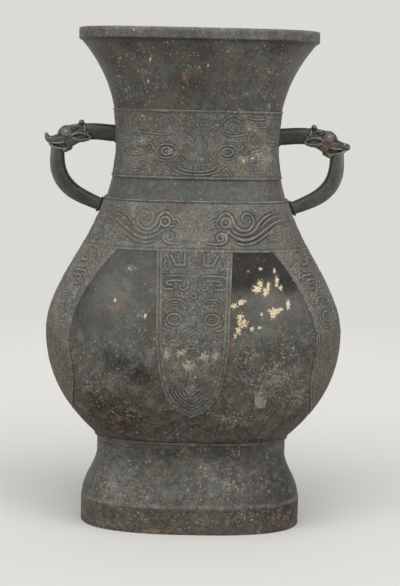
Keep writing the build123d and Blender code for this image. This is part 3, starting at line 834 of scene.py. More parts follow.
def bladeStrokes():
    # one half of the blade's mask, mirrored about its middle line; v is the level. The nested points
    # are the blade's own outline, drawn in towards the chevrons' heart and thinned upward
    outline = np.linspace(blade["tip"], 150.0, 40)
    half, heart, chevrons = frontBladeWidth(outline), blade["chevronHeart"], []
    half[0] = 0.0
    for scale in blade["chevrons"]:
        level = heart + scale**0.62 * (outline - heart)
        top = blade["chevronTop"] - blade["chevronStep"] * scale
        width = 0.85 - 0.55 * smoothStep(top - blade["chevronFade"], top, level)
        chevrons.append(np.stack([scale * half, level, width], axis=1)[level < top])
    return chevrons + [
        [(7.4, 227.0, 1.35), (7.4, 218.0, 1.35), (14.4, 218.0, 1.35), (18.4, 225.4, 1.2)],
        [(12.0, 227.0, 0.7), (12.4, 223.0, 0.7), (14.0, 226.6, 0.6)],
        curvePath([(22.4, 222.0), (23.6, 217.6), (21.0, 214.0)]),
        curvePath([(16.4, 199.8), (22.6, 199.8), (24.6, 202.0), (24.8, 206.6), (22.4, 209.6), (14.0, 210.0),
                   (7.4, 209.8), (4.7, 207.4), (4.7, 202.0), (7.2, 199.6), (10.4, 199.9), (10.8, 203.0)]),
        curvePath([(17.0, 203.2), (20.4, 203.2), (21.0, 205.4), (16.0, 206.4), (9.4, 206.2)]),
        [(0.0, 197.4), (2.4, 195.0), (0.0, 192.6)],
        curvePath([(4.8, 186.6, 0.5), (8.2, 190.8, 0.8), (14.2, 192.4, 0.9), (20.0, 191.0, 0.9),
                   (23.8, 186.4, 0.5)]),
        curvePath([(8.6, 185.2, 0.5), (11.4, 187.6, 0.7), (16.6, 187.8, 0.7), (20.2, 185.0, 0.5)]),
        curvePath([(9.0, 177.0), (11.0, 180.2), (14.4, 181.2), (18.0, 180.4), (20.2, 177.6), (18.2, 174.2),
                   (14.4, 173.2), (10.8, 174.0), (9.0, 177.0)]),
        [(12.6, 177.2, 0.7), (16.4, 177.4, 0.7)],
        curvePath([(23.0, 181.0), (24.4, 176.0), (23.0, 170.0), (18.0, 168.4)]),
        curvePath([(0.0, 171.0, 0.6), (4.6, 169.4, 0.8), (8.6, 166.4, 0.8), (8.0, 162.6, 0.7),
                   (4.6, 162.0, 0.6), (3.6, 164.6, 0.5)]),
        curvePath([(12.4, 169.0, 0.5), (15.4, 163.6, 0.8), (21.0, 162.0, 0.8), (23.6, 156.4, 0.7),
                   (22.0, 150.0, 0.4)]),
        curvePath([(0.0, 157.6, 0.7), (6.0, 157.0, 0.7), (13.0, 154.4, 0.6), (19.0, 152.6, 0.4)]),
    ]


def foldedBladeStrokes():
    # the side blade holds the same mask twice, side by side, without its nested points
    return [path for path in bladeStrokes() if np.asarray(path)[:, 1].min() > maskLow]


def bladePiece(name, design, centreTurn, widthAt, strokes, paler=0.0):
    # a blade on the belly: every level is a closed slice, its face carved and its back sunk in
    # the wall; u = a share of the blade's half width, measured along the wall from its middle line
    levels = np.linspace(bladeTop, design["tip"] + 0.6, design["rows"])
    plans = bellyPlan(levels)
    half = ovalOutline(plans)[2][:, -1]
    width = widthAt(levels)
    u = np.linspace(-1, 1, design["columns"])[None, :] * width[:, None]
    if abs(centreTurn) < 1:
        grid = ovalGrid(plans, levels, u + centreTurn * half[:, None])
    else:
        grid = ovalGrid(plans, levels, u) * np.array([-1.0, -1.0, 1.0])
    v = np.broadcast_to(levels[:, None], u.shape)
    raised, groove = carvedLines(np.abs(np.abs(u) - design["fold"]), v, strokes, design)
    slope = np.gradient(width, levels)
    edge = (width[:, None] - np.abs(u)) / np.sqrt(1 + slope[:, None] ** 2)
    gap = np.min([np.abs(edge - line) for line in design["borderLines"]], axis=0)
    line = 1 - smoothStep(0.4, 0.9, gap)
    inner = smoothStep(4.4, 5.2, edge)
    raised = np.maximum(raised * inner, 0.6 * line)
    groove = np.maximum(groove * inner, 0.7 * (1 - inner) * smoothStep(0.7, 1.2, gap))
    wear = frayed(grid, 22.0, *design["wear"]) * (1 - 0.9 * blobField(u, levels, design["crusted"]))
    wear = wear * (1 - 0.5 * blobField(u, levels, design["faded"]))
    low = smoothStep(*crustLevels, levels)[:, None] * np.ones_like(u)
    marks = {label: start + share * low for label, (start, share) in design["marks"].items()}
    marks["tone"] = marks["tone"] + paler
    height = -design["ground"] * (1 - raised * wear) - design["grooveDepth"] * groove * wear
    height += (0.1 + 0.5 * marks["crust"]) * np.minimum(valueNoise(grid, 3.0, 3) - 0.5, 0.0)
    marks["groove"] = groove * (0.35 + 0.65 * wear)
    marks["wearAndHighlight"] = raised * wear
    addTints(marks, u, levels, design["tints"])
    normal = gridNormals(grid, False)
    normal = normal * np.where(np.sum(normal[..., :2] * grid[..., :2], axis=2, keepdims=True) < 0, -1.0, 1.0)
    face = grid + normal * np.minimum(height, 0.0)[..., None]
    picks = np.linspace(design["columns"] - 1, 0, 9).astype(int)
    back = (grid - normal * design["sunk"])[:, picks]
    rings = np.concatenate([face, back], axis=1)
    return meshFromShapes(name, [shapeFromRings(rings)], paddedMarks(marks, back, 1))


bladeMeshes = [
    bladePiece("frontBlade", blade, 0.0, frontBladeWidth, bladeStrokes()),
    bladePiece("backBlade", blade, 1.0, frontBladeWidth, bladeStrokes()),
    bladePiece("rightBlade", sideBlade, 0.5, sideBladeWidth, foldedBladeStrokes()),
    bladePiece("leftBlade", sideBlade, -0.5, sideBladeWidth, foldedBladeStrokes(), 0.06),
]
print("blades", [len(mesh.polygons) for mesh in bladeMeshes])

# Shells of the neck, belly and foot. Their first outerRows rings show outside; tints lie on both faces,
# outerTints on the outside alone


def ringRows(*rings):
    # single rings of a wall profile, each a level and its plan
    return np.array([ring[0] for ring in rings]), np.array([ring[1] for ring in rings], dtype=float)


def shellGrid(rows, wall):
    # rings of a closed wall profile; rows is a list of (levels, plans) up one face and down the other
    levels = np.concatenate([row[0] for row in rows])
    plans = np.concatenate([row[1] for row in rows])
    along = ringLengths(plans, wall["columns"])
    outer = (np.arange(len(levels)) < wall["outerRows"])[:, None] * np.ones_like(along)
    return ovalGrid(plans, levels, along), along, levels, outer


def shellMesh(name, grid, marks, along, levels, outer, wall):
    # the shell's skin with its own marks and its tints
    addTints(marks, along, levels, wall["tints"])
    addTints(marks, along, levels, wall["outerTints"], outer)
    return meshFromShapes(name, [shapeFromRings(grid, True)], marks)


insideDent = 0.05
neckWall = {
    "columns": 360,
    "outerRows": 100,
    "sink": 0.12,
    "plainLevels": (284.0, 280.0),
    "tone": -0.11,
    "tints": [
        ("tone", 0.07, [(64, 362, 50, 46)]),
        ("tone", -0.06, [(-60, 362, 60, 50)]),
        ("chalk", 0.4, [(-62, 362, 9, 34), (-43, 366, 7, 30), (54, 352, 10, 34), (-8, 368, 8, 12),
                        (70, 372, 14, 14), (66, 274, 12, 12), (54, 276, 5, 14), (20, 392, 40, 4)]),
        ("verdigris", 1.0, [(-12, 275, 26, 10), (24, 272, 30, 12), (-70, 290, 20, 20)]),
    ],
    "outerTints": [
        # painted light: the flare's left and right corners paler, as if lit from the sides
        ("tone", 0.14, [(108, 356, 44, 50), (-112, 356, 40, 50)]),
        ("tone", -0.16, [(-54, 386, 12, 8), (4, 384, 18, 14), (62, 386, 22, 10), (-8, 356, 24, 12)]),
        ("flake", 0.72, [
            (-38, 375, 2.2, 3.0), (-37, 367, 2.0, 2.4), (-39, 358, 1.8, 3.0), (-62, 376, 2.6, 2.4),
            (-58, 351, 2.2, 2.6), (-65, 343, 1.8, 2.0), (0.5, 370, 2.4, 2.0), (7, 371, 2.0, 2.6),
            (-12, 354, 2.0, 2.0), (40, 365, 1.8, 2.0), (62, 349, 2.4, 2.2), (72, 356, 2.6, 2.2),
            (76, 370, 2.2, 2.4), (58, 341, 2.4, 2.0), (68, 343, 2.0, 2.2), (17, 389, 3.4, 1.6),
            (-50, 397, 3.0, 1.2), (-24, 388, 2.2, 1.4),
        ]),
        ("rust", 1.0, [(-10, 363, 4, 9), (-8, 358, 4, 5), (-56, 345, 5, 4), (-13, 343, 4, 3)]),
    ],
}


def neckShell():
    # up the flare and over the lip's rounded edges, down the bore and round the spigot; the outside is
    # dented by two sizes of noise
    lip = np.array(vessel["lipPlan"])
    mouthBore = grownPlan(lip, -vessel["lipWall"])
    bore = grownPlan(vessel["neckRootPlan"], -vessel["wall"])
    spigot = grownPlan(bore, vessel["spigotWall"])
    spigotEnd = ledge - vessel["spigotDepth"]
    outside = np.linspace(ledge, lipLevel, 84)
    lipFace = np.linspace(lipLevel + 1.2, mouth - 1.4, 8)
    inside = np.linspace(lipLevel, ledge, 44)
    rows = [
        (outside, insetPlan(neckPlan, outside, neckWall["sink"])),
        ringRows((lipLevel + 0.1, grownPlan(lip, -0.6)), (lipLevel + 0.6, grownPlan(lip, -0.1))),
        (lipFace, np.tile(lip, (len(lipFace), 1))),
        ringRows((mouth - 0.5, grownPlan(lip, -0.1)), (mouth - 0.15, grownPlan(lip, -0.35)),
                 (mouth, grownPlan(lip, -0.9)), (mouth, grownPlan(lip, -3.0)),
                 (mouth, grownPlan(mouthBore, 0.9)), (mouth - 0.4, grownPlan(mouthBore, 0.2)),
                 (mouth - 1.2, mouthBore)),
        (inside, insetPlan(neckPlan, inside, vessel["wall"])),
        ringRows((ledge - 0.5, bore), (spigotEnd, bore), (spigotEnd, spigot), (ledge - 0.5, spigot)),
    ]
    grid, along, levels, outer = shellGrid(rows, neckWall)
    dents = valueNoise(grid, 30.0, 2) * 0.25 + valueNoise(grid, 3.4, 3) * 0.22
    dents = dents * (1 - 0.75 * smoothStep(lipLevel - 0.5, lipLevel + 0.5, levels))[:, None]
    grid = grid - gridNormals(grid, True, True) * np.where(outer > 0, dents, insideDent)[..., None]
    # the first ring inside the mouth has the tone of neither face
    inner = 1 - outer
    inner[neckWall["outerRows"]] = 0.0
    plain = smoothStep(*neckWall["plainLevels"], levels)[:, None] * outer
    lipTone = smoothStep(lipLevel, lipLevel + 1, levels)[:, None]
    lipEdge = smoothStep(lipLevel + 5.0, mouth, levels)[:, None] * outer
    # painted shadow: a dark line under the lip's overhang and under the frieze's lower edge, laid in the
    # groove mark
    underLipShadow = (1 - smoothStep(0.0, 2.4, np.abs(levels - lipLevel + 1.0)))[:, None] * outer
    friezeFootShadow = (1 - smoothStep(0.3, 1.6, np.abs(levels - frieze["low"])))[:, None] * outer
    marks = {
        "tone": neckWall["tone"] + 0.035 * plain - 0.1 * inner + 0.05 * lipTone,
        "wearAndHighlight": 0.7 * lipEdge,
        "groove": 0.7 * underLipShadow + 0.5 * friezeFootShadow,
        "crust": 0.3 + 0.3 * inner - 0.15 * plain,
    }
    return shellMesh("neckShell", grid, marks, along, levels, outer, neckWall)


bellyWall = {
    "columns": 500,
    "outerRows": 150,
    "recess": 0.7,
    "recessStart": (80.0, 110.0),
    "recessEnd": (264.0, 265.6),
    "crustLevels": (176.0, 150.0),
    "rustLevels": (150.0, 100.0),
    "lowShadeLevels": (134.0, 92.0),
    "tone": -0.11,
    "dark": -0.29,
    "darkPanel": [(52, 224, 54, 30), (36, 208, 24, 16), (76, 208, 20, 18)],
    "darkBlots": [(-20, 216, 8, 20), (-62, 142, 26, 16), (-40, 132, 20, 14), (-62, 100, 44, 30)],
    "chalk": [(66, 130, 40, 34), (90, 112, 30, 24), (30, 96, 34, 16), (-52, 100, 24, 14), (-84, 118, 26, 22),
              (46, 150, 24, 12), (180, 120, 90, 36), (-170, 120, 80, 30)],
    "tints": [
        ("tone", 0.1, [(56, 186, 34, 16), (-58, 190, 36, 30)]),
        ("tone", -0.09, [(-52, 222, 50, 26)]),
        ("verdigris", 1.0, [(-73, 156, 34, 22), (-52, 168, 22, 20), (-35, 222, 14, 10), (56, 166, 18, 8),
                            (48, 182, 20, 10), (150, 180, 40, 40), (-190, 150, 40, 40)]),
    ],
    "outerTints": [
        ("chalk", 0.7, [(-50, 214, 12, 6), (-40, 180, 8, 10)]),
        ("rust", 1.0, [(-58, 82, 8, 6), (57, 98, 7, 4), (31, 160, 4, 10), (19, 80, 5, 4), (-32, 76, 5, 3),
                       (-57, 93, 5, 4), (-62, 184, 7, 4), (66, 166, 6, 5)]),
        ("flake", 1.0, [
            (31, 188, 7.2, 3.8), (37.5, 191, 7.2, 4.1), (36.4, 179, 5.2, 6.7), (38.6, 174.5, 7.5, 7.2),
            (35, 169, 4.6, 5.8), (32.6, 165, 3.2, 4.3), (49.4, 201, 6.4, 5.8), (51.8, 205, 4.1, 5.2),
            (58.6, 202, 3.2, 7.5), (65.6, 206.5, 3.3, 9.6), (63.4, 182.6, 7.2, 7.8), (68.6, 185, 4.9, 3.8),
            (59, 184, 4.1, 3.5), (75.2, 188.6, 3.8, 7.5), (53, 181.6, 3.2, 3.2), (45.6, 170.6, 3.5, 3.2),
            (51.4, 171.4, 2.9, 2.9), (42, 214, 2.6, 2.6), (52, 215.5, 3.2, 2.6), (63.5, 214.5, 2.6, 3.8),
            (-62, 190, 2.8, 2.8), (-37, 179, 2.8, 3.2), (56, 198, 4.0, 6.0), (69, 201, 2.6, 5.0),
        ]),
    ],
}


def bellyShell():
    # up the bulb, sunk by recess between its root and the shoulder so that bands and blades stand
    # proud, over the ledge, into the socket and down the inside; crust lies below a wandering level, and
    # the lower belly is painted darker towards the bottom as painted shade
    outside = np.linspace(footTop, ledge, bellyWall["outerRows"])
    cavityTop = ledge - vessel["seatDepth"]
    inside = np.linspace(cavityTop, footTop, 30)
    shoulder = vessel["shoulderPlan"]
    socket = grownPlan(vessel["neckRootPlan"], vessel["socketGrowth"] - vessel["wall"])
    start, end = bellyWall["recessStart"], bellyWall["recessEnd"]
    recess = bellyWall["recess"] * smoothStep(*start, outside) * (1 - smoothStep(*end, outside))
    plans = bellyPlan(outside)
    plans[:, :2] -= 2 * recess[:, None]
    rows = [
        (outside, plans),
        ringRows((ledge, grownPlan(shoulder, -0.5)), (ledge, grownPlan(shoulder, -1.6)), (ledge, socket),
                 (cavityTop, socket)),
        (inside, insetPlan(bellyPlan, inside, vessel["wall"])),
    ]
    grid, along, levels, outer = shellGrid(rows, bellyWall)
    inner = 1 - outer
    wander = 26.0 * (valueNoise(grid, 30.0, 3) - 0.5)
    crust = smoothStep(*bellyWall["crustLevels"], levels[:, None] + wander)
    lumps = valueNoise(grid, 4.2, 4)
    dents = 0.08 * valueNoise(grid, 34.0, 2) + crust * 0.5 * lumps
    grid = grid - gridNormals(grid, True, True) * np.where(outer > 0, dents, insideDent)[..., None]
    uneven = 0.7 + 0.6 * valueNoise(grid, 16.0, 3)
    dark = np.minimum(1.5 * blobField(along, levels, bellyWall["darkPanel"]), 1.0)
    dark = np.maximum(dark, 0.8 * blobField(along, levels, bellyWall["darkBlots"])) * uneven
    # painted shade: the down-facing lower belly darker towards the bottom
    low = smoothStep(*bellyWall["lowShadeLevels"], levels)[:, None] * outer
    ragged = valueNoise(grid, 9.0, 3)
    seamLevel = footTop + 3.0 * ragged
    seam = 1 - smoothStep(0.3, 1.6, np.abs(levels[:, None] - seamLevel))
    seam = seam * smoothStep(0.3, 0.6, ragged) * outer
    marks = {
        "tone": bellyWall["tone"] + bellyWall["dark"] * dark - 0.1 * low - 0.1 * inner,
        "groove": 0.6 * seam + 0.28 * crust * smoothStep(0.5, 0.72, lumps) * outer,
        "wearAndHighlight": 0.42 * crust * smoothStep(0.5, 0.3, lumps) * outer,
        "crust": 0.02 + 0.98 * crust * outer + 0.4 * inner,
        "chalk": 0.6 * blobField(along, levels, bellyWall["chalk"]) * crust * outer,
        "rust": 0.2 * smoothStep(*bellyWall["rustLevels"], levels)[:, None] * outer,
    }
    return shellMesh("bellyShell", grid, marks, along, levels, outer, bellyWall)


footWall = {
    "columns": 360,
    "outerRows": 90,
    "seamDepth": 7.0,
    "seamStep": 6.0,
    "seamPlace": (-4.0, 4.0),
    "tone": -0.085,
    "tints": [
        ("tone", -0.19, [(78, 36, 60, 60), (20, 68, 70, 14), (-20, 64, 50, 10)]),
        ("tone", 0.07, [(-62, 40, 40, 30)]),
    ],
    "outerTints": [
        ("chalk", 0.45, [(-64, 40, 26, 26), (30, 42, 34, 20), (40, 14, 60, 12), (-30, 14, 40, 10),
                         (-76, 62, 14, 12), (180, 40, 80, 30)]),
        ("rust", 1.0, [(-6, 67, 5, 3), (4, 59, 6, 3), (-66, 6, 20, 5), (-20, 3, 30, 3), (76, 12, 14, 5)]),
    ],
}


def footShell():
    # up the band and the skirt, over the rabbet and down the hollow inside; lumps fade out at the floor,
    # and a seam steps down left of the front's middle
    bandPlan, topPlan = vessel["footBandPlan"], vessel["footTopPlan"]
    bandBore = grownPlan(bandPlan, -vessel["footBandWall"])
    rabbetPlan = grownPlan(topPlan, -vessel["rabbetInset"])
    outside = np.linspace(footBandTop, footTop, 66)
    bandFace = np.linspace(1.0, footBandTop - 0.8, 22)
    inside = outside[::-2] - vessel["rabbetDepth"]
    rows = [
        ringRows((0.0, grownPlan(bandPlan, -1.0)), (0.3, grownPlan(bandPlan, -0.3))),
        (bandFace, np.tile(np.array(bandPlan), (len(bandFace), 1))),
        ringRows((footBandTop - 0.2, grownPlan(bandPlan, -0.25))),
        (outside, insetPlan(footPlan, outside, 0.05)),
        ringRows((footTop, rabbetPlan), (footTop - vessel["rabbetDepth"], rabbetPlan)),
        (inside, insetPlan(footPlan, inside, vessel["wall"])),
        ringRows((footBandTop - 4.0, bandBore), (0.3, bandBore), (0.0, grownPlan(bandBore, 0.5))),
    ]
    grid, along, levels, outer = shellGrid(rows, footWall)
    inner = 1 - outer
    lumps = valueNoise(grid, 3.8, 4)
    dents = np.where(outer > 0, 0.12 + 0.5 * lumps, insideDent) * smoothStep(0.2, 1.6, levels)[:, None]
    grid = grid - gridNormals(grid, True, True) * dents[..., None]
    ragged = valueNoise(grid, 12.0, 3)
    bandTop = footBandTop + 1.6 * (ragged - 0.5)
    band = smoothStep(0.9, -0.9, levels[:, None] - bandTop) * outer
    # painted highlight: a pale line along the band's top ledge
    shelfHighlight = (1 - smoothStep(0.5, 2.2, np.abs(levels[:, None] - bandTop - 1.0))) * outer
    step = footWall["seamStep"] * smoothStep(*footWall["seamPlace"], along)
    seamLevel = footTop - footWall["seamDepth"] + step + 1.4 * (ragged - 0.5)
    seam = 1 - smoothStep(0.3, 1.3, np.abs(levels[:, None] - seamLevel))
    seam = seam * smoothStep(0.34, 0.56, ragged) * outer
    marks = {
        "tone": footWall["tone"] - 0.08 * band + 0.05 * shelfHighlight - 0.1 * inner,
        "crust": 0.5 * outer + 0.3 * band + 0.4 * inner,
        "groove": 0.75 * seam + 0.26 * smoothStep(0.52, 0.75, lumps) * outer,
        "wearAndHighlight": (0.4 * smoothStep(0.5, 0.3, lumps) + 0.35 * shelfHighlight) * outer,
        "rust": 0.16 * band,
    }
    return shellMesh("footShell", grid, marks, along, levels, outer, footWall)


shellMeshes = [neckShell(), bellyShell(), footShell()]
neckMesh, bellyMesh, footMesh = shellMeshes
for meshes, sharpAngle in ((shellMeshes, 50), (bladeMeshes, 60)):
    for mesh in meshes:
        mesh.set_sharp_from_angle(angle=math.radians(sharpAngle))
castings = [(neckMesh, "neck"), (friezeMesh, None), (bellyMesh, "belly"), (shoulderMesh, None)]
castings += [(mesh, None) for mesh in bladeMeshes] + [(footMesh, "foot")]
for mesh, node in castings:
    addPiece(mesh, bronze, node)
print("shells", [len(mesh.polygons) for mesh in shellMeshes])

# Handles: overlapping closed tubes and balls in the handle's own plane, fused into one skin. A tube is
# its path and its half sizes, a ball its centre and radii; pairs are given on one side of the head

handle = {
    "voxel": 0.42,
    "smooth": 5,
    "sides": 28,
    "tipReach": 124.6,
    # a painted highlight on each eye, centred here
    "eye": (106.2, 0.0, 317.5),
    "eyeGlintRadius": 3.2,
    "rustyCheek": (105.0, 0.0, 310.5),
    "rustReach": (3.0, 13.0),
}
beast = {
    "arm": ([(62, 0, 316.8), (70, 0, 317.2), (80, 0, 318.0), (88, 0, 318.0), (94, 0, 317.4)],
            [(6.8, 5.5), (6.8, 5.5), (6.7, 5.4), (6.7, 5.5), (6.4, 5.6)]),
    "skull": ([(88, 0, 317.6), (93, 0, 317.4), (98, 0, 316.2), (103, 0, 314.4), (107, 0, 312.2),
               (111, 0, 310.8)], [(5.6, 5.2), (7.0, 6.4), (7.8, 7.4), (8.4, 8.2), (8.2, 8.0), (5.4, 6.6)]),
    "snout": ([(107, 0, 312.4), (111, 0, 311.8), (115, 0, 310.9)], [(5.4, 7.0), (4.6, 6.4), (3.9, 5.8)]),
    "jaw": ([(104, 0, 304.8), (108, 0, 303.8), (112.4, 0, 304.0), (116.4, 0, 305.0), (119.4, 0, 307.0)],
            [(2.6, 6.4), (2.8, 6.8), (2.3, 6.4), (1.9, 5.6), (1.4, 4.6)]),
    "tongue": ([(106, 0, 307.6), (110, 0, 307.4), (114, 0, 307.8), (117.6, 0, 308.6)],
               [(2.6, 5.6), (2.4, 5.4), (1.8, 4.4), (1.0, 3.0)]),
    "ruff": {"centre": (90.6, 0, 317.7), "radii": (6.0, 6.8), "thickness": 0.9, "tilt": 0.24},
    "eyeRim": {"centre": (106.0, 8.4, 317.4), "radii": (3.7, 2.7), "thickness": 0.7},
    "pairedBalls": {
        "eye": ((106.2, 5.9, 317.6), (4.2, 3.6, 3.4)),
        "pupil": ((106.4, 9.1, 317.6), (1.5, 0.8, 1.1)),
        "crown": ((100.6, 4.6, 320.4), (4.6, 3.4, 3.0)),
        "earHollow": ((94.4, 6.4, 313.8), (4.2, 1.2, 1.2)),
        "earKnob": ((88.9, 5.8, 316.4), (1.7, 1.5, 1.6)),
        "cheek": ((102.4, 6.8, 309.0), (4.0, 1.6, 3.4)),
        "hornKnob": ((94.4, 3.7, 325.6), (2.0, 1.9, 1.9)),
        "jawCurl": ((107.2, 5.2, 303.0), (2.8, 2.2, 2.3)),
        "nostril": ((119.2, 3.6, 311.9), (1.6, 1.3, 1.2)),
    },
    "pairedTubes": {
        "brow": ([(101.6, 6.6, 317.6), (103.0, 7.2, 320.6), (107.0, 6.6, 321.4), (111.0, 5.6, 318.8),
                  (113.4, 5.4, 315.2)], [0.6, 1.3, 1.4, 1.2, 0.6]),
        "crest": ([(104.0, 5.6, 321.0), (99.4, 6.4, 322.0), (95.0, 5.6, 321.6), (92.4, 5.2, 320.0)],
                  [0.8, 1.4, 1.3, 0.6]),
        "earTop": ([(103.0, 8.2, 313.6), (98.6, 8.4, 316.2), (94.0, 7.8, 316.6), (89.6, 6.9, 315.4),
                    (86.0, 6.2, 313.8)], [0.6, 1.1, 1.2, 1.0, 0.7]),
        "earLow": ([(101.6, 7.6, 312.6), (97.6, 8.0, 311.4), (93.0, 7.8, 311.0), (89.0, 7.0, 311.8),
                    (86.0, 6.2, 313.6)], [(0.9, 0.9), (1.7, 1.4), (1.8, 1.5), (1.4, 1.2), (0.7, 0.7)]),
        "horn": ([(97.4, 3.4, 321.4), (95.8, 3.6, 323.6), (94.8, 3.7, 325.0)], [2.0, 1.4, 1.3]),
        "lip": ([(119.6, 3.8, 308.4), (115.6, 5.1, 308.2), (111.6, 6.2, 308.3), (107.6, 7.2, 309.0)],
                [0.7, 0.8, 0.9, 0.6]),
    },
}
noses = {
    "right": ([(118.2, 0, 310.0), (120.2, 0, 309.8), (121.2, 0, 309.8)],
              [(3.4, 5.4), (3.4, 5.0), (3.1, 4.6)]),
    "left": ([(118.4, 0, 310.6), (121.0, 0, 311.6), (122.5, 0, 313.8), (122.9, 0, 315.6)],
             [(3.3, 5.0), (2.8, 4.2), (1.9, 2.8), (1.2, 1.8)]),
}
loopBar = {
    "path": [(113.6, 0, 305.0), (113.6, 0, 299.0), (113.4, 0, 292.0), (112.0, 0, 285.0), (108.4, 0, 277.6),
             (102.2, 0, 271.0), (94.6, 0, 266.2), (86.4, 0, 262.4), (79.0, 0, 259.4), (73.0, 0, 256.8)],
    "half": [(5.4, 5.6), (5.9, 5.9), (6.3, 6.0), (6.5, 6.0), (6.6, 5.9),
             (6.5, 5.8), (6.1, 5.5), (5.7, 5.2), (5.3, 5.0), (5.0, 4.8)],
    # lit and shaded copies: the left loop is painted darker than the right, as painted shade
    "tone": {"right": 0.1, "left": 0.03},
}


def tubeRings(path, half, power=2.0, reference=(0.0, 1.0, 0.0), closed=False, dome=1.0):
    # a superellipse of two half sizes carried square to a path, with rounded ends
    path, half = np.array(path, dtype=float), np.array(half, dtype=float)
    tangent = np.roll(path, -1, axis=0) - np.roll(path, 1, axis=0) if closed else np.gradient(path, axis=0)
    tangent /= np.linalg.norm(tangent, axis=1, keepdims=True)
    if not closed:
        turn = np.linspace(0, np.pi / 2, 6)[1:-1]
        rise, shrink = np.sin(turn), np.cos(turn)
        reach = dome * half.min(axis=1)
        first = path[:1] - tangent[:1] * (reach[0] * rise[::-1])[:, None]
        last = path[-1:] + tangent[-1:] * (reach[-1] * rise)[:, None]
        path = np.vstack([first, path, last])
        half = np.vstack([half[:1] * shrink[::-1, None], half, half[-1:] * shrink[:, None]])
        tangent = np.vstack([np.repeat(tangent[:1], len(turn), axis=0), tangent,
                             np.repeat(tangent[-1:], len(turn), axis=0)])
    across = np.array(reference) - tangent * (tangent @ np.array(reference))[:, None]
    across /= np.linalg.norm(across, axis=1, keepdims=True)
    upward = np.cross(across, tangent)
    angle = np.linspace(0, 2 * np.pi, handle["sides"], endpoint=False)
    reach = (np.abs(np.cos(angle)) ** power + np.abs(np.sin(angle)) ** power) ** (-1 / power)
    offset = upward[:, None, :] * (half[:, :1] * np.cos(angle) * reach)[..., None]
    offset = offset + across[:, None, :] * (half[:, 1:] * np.sin(angle) * reach)[..., None]
    return path[:, None, :] + offset


def smoothTube(points, half, samples=6, **options):
    # the tube through given points, path and half sizes both drawn as smooth curves
    widths = curvePath([pair if isinstance(pair, tuple) else (pair, pair) for pair in half], samples)
    return shapeFromRings(tubeRings(curvePath(points, samples), np.maximum(widths, 0.25), **options))


def ball(centre, radii):
    # ellipsoid as rings of latitude with a small flat face at each pole
    latitude = np.linspace(-1.45, 1.45, 15)[:, None]
    longitude = np.linspace(0, 2 * np.pi, handle["sides"], endpoint=False)[None, :]
    width = np.cos(latitude)
    spots = np.broadcast_arrays(width * np.cos(longitude), width * np.sin(longitude), np.sin(latitude))
    return shapeFromRings(np.array(centre) + np.stack(spots, axis=-1) * np.array(radii))


def loopTube(centre, radii, thickness, tilt=None):
    # a closed ring: an ellipse in the handle's plane, or with a tilt across the arm, its top leaning out
    angle = np.linspace(0, 2 * np.pi, 40, endpoint=False)
    run, lift = radii[0] * np.cos(angle), radii[1] * np.sin(angle)
    if tilt is None:
        path, reference = np.stack([run, np.zeros_like(run), lift], axis=1), (0.0, 1.0, 0.0)
    else:
        path, reference = np.stack([tilt * lift, run, lift], axis=1), (1.0, 0.0, 0.0)
    half = np.full((len(angle), 2), thickness)
    return shapeFromRings(tubeRings(path + np.array(centre), half, reference=reference, closed=True), True)


def beastShapes(nose):
    # the arm, the head from nape to nose tip, and paired features made on both sides
    path, half = beast["snout"]
    shapes = [
        smoothTube(*beast["arm"], power=2.8, dome=0.2),
        smoothTube(*beast["skull"]),
        smoothTube(path + nose[0], half + nose[1]),
        smoothTube(*beast["jaw"]),
        smoothTube(*beast["tongue"]),
        loopTube(**beast["ruff"]),
    ]
    for side in (-1, 1):
        mirror = np.array([1.0, side, 1.0])
        rim = beast["eyeRim"]
        shapes.append(loopTube(np.array(rim["centre"]) * mirror, rim["radii"], rim["thickness"]))
        shapes += [ball(np.array(centre) * mirror, radii) for centre, radii in beast["pairedBalls"].values()]
        shapes += [smoothTube(np.array(path) * mirror, half) for path, half in beast["pairedTubes"].values()]
    return shapes


def flipped(shape, direction):
    # mirrored across the vessel's middle plane, with its faces turned back outwards
    if direction > 0:
        return shape
    points, corners, starts = shape
    ends = np.concatenate([starts[1:], [len(corners)]])
    face = np.repeat(np.arange(len(starts)), ends - starts)
    place = np.arange(len(corners))
    return points * np.array([-1.0, 1.0, 1.0]), corners[starts[face] + ends[face] - 1 - place], starts


def fusedMesh(name, shapes):
    # one skin from overlapping shapes: a voxel remesh, then a few smoothing passes
    rough = bpy.data.objects.new(name + "Rough", meshFromShapes(name + "Rough", shapes))
    scene.collection.objects.link(rough)
    remesh = rough.modifiers.new("fuse", "REMESH")
    remesh.mode = "VOXEL"
    remesh.voxel_size = handle["voxel"] * mm
    soften = rough.modifiers.new("soften", "SMOOTH")
    soften.factor = 0.5
    soften.iterations = handle["smooth"]
    evaluated = rough.evaluated_get(bpy.context.evaluated_depsgraph_get())
    mesh = bpy.data.meshes.new_from_object(evaluated)
    mesh.name = name
    oldMesh = rough.data
    bpy.data.objects.remove(rough)
    bpy.data.meshes.remove(oldMesh)
    return mesh


def hollowShare(mesh, points):
    # how far each point lies below its neighbours' mean, along its normal: grooves are positive
    normals = np.empty(points.size, dtype=np.float32)
    mesh.vertices.foreach_get("normal", normals)
    edges = np.empty(len(mesh.edges) * 2, dtype=np.int32)
    mesh.edges.foreach_get("vertices", edges)
    a, b = edges.reshape(-1, 2).T
    size = len(points)
    count = 1 + np.bincount(a, minlength=size) + np.bincount(b, minlength=size)
    mean = points
    for _ in range(3):
        sums = [np.bincount(a, mean[b, k], size) + np.bincount(b, mean[a, k], size) for k in range(3)]
        mean = (mean + np.stack(sums, axis=1)) / count[:, None]
    return np.sum((mean - points) * normals.reshape(-1, 3), axis=1)


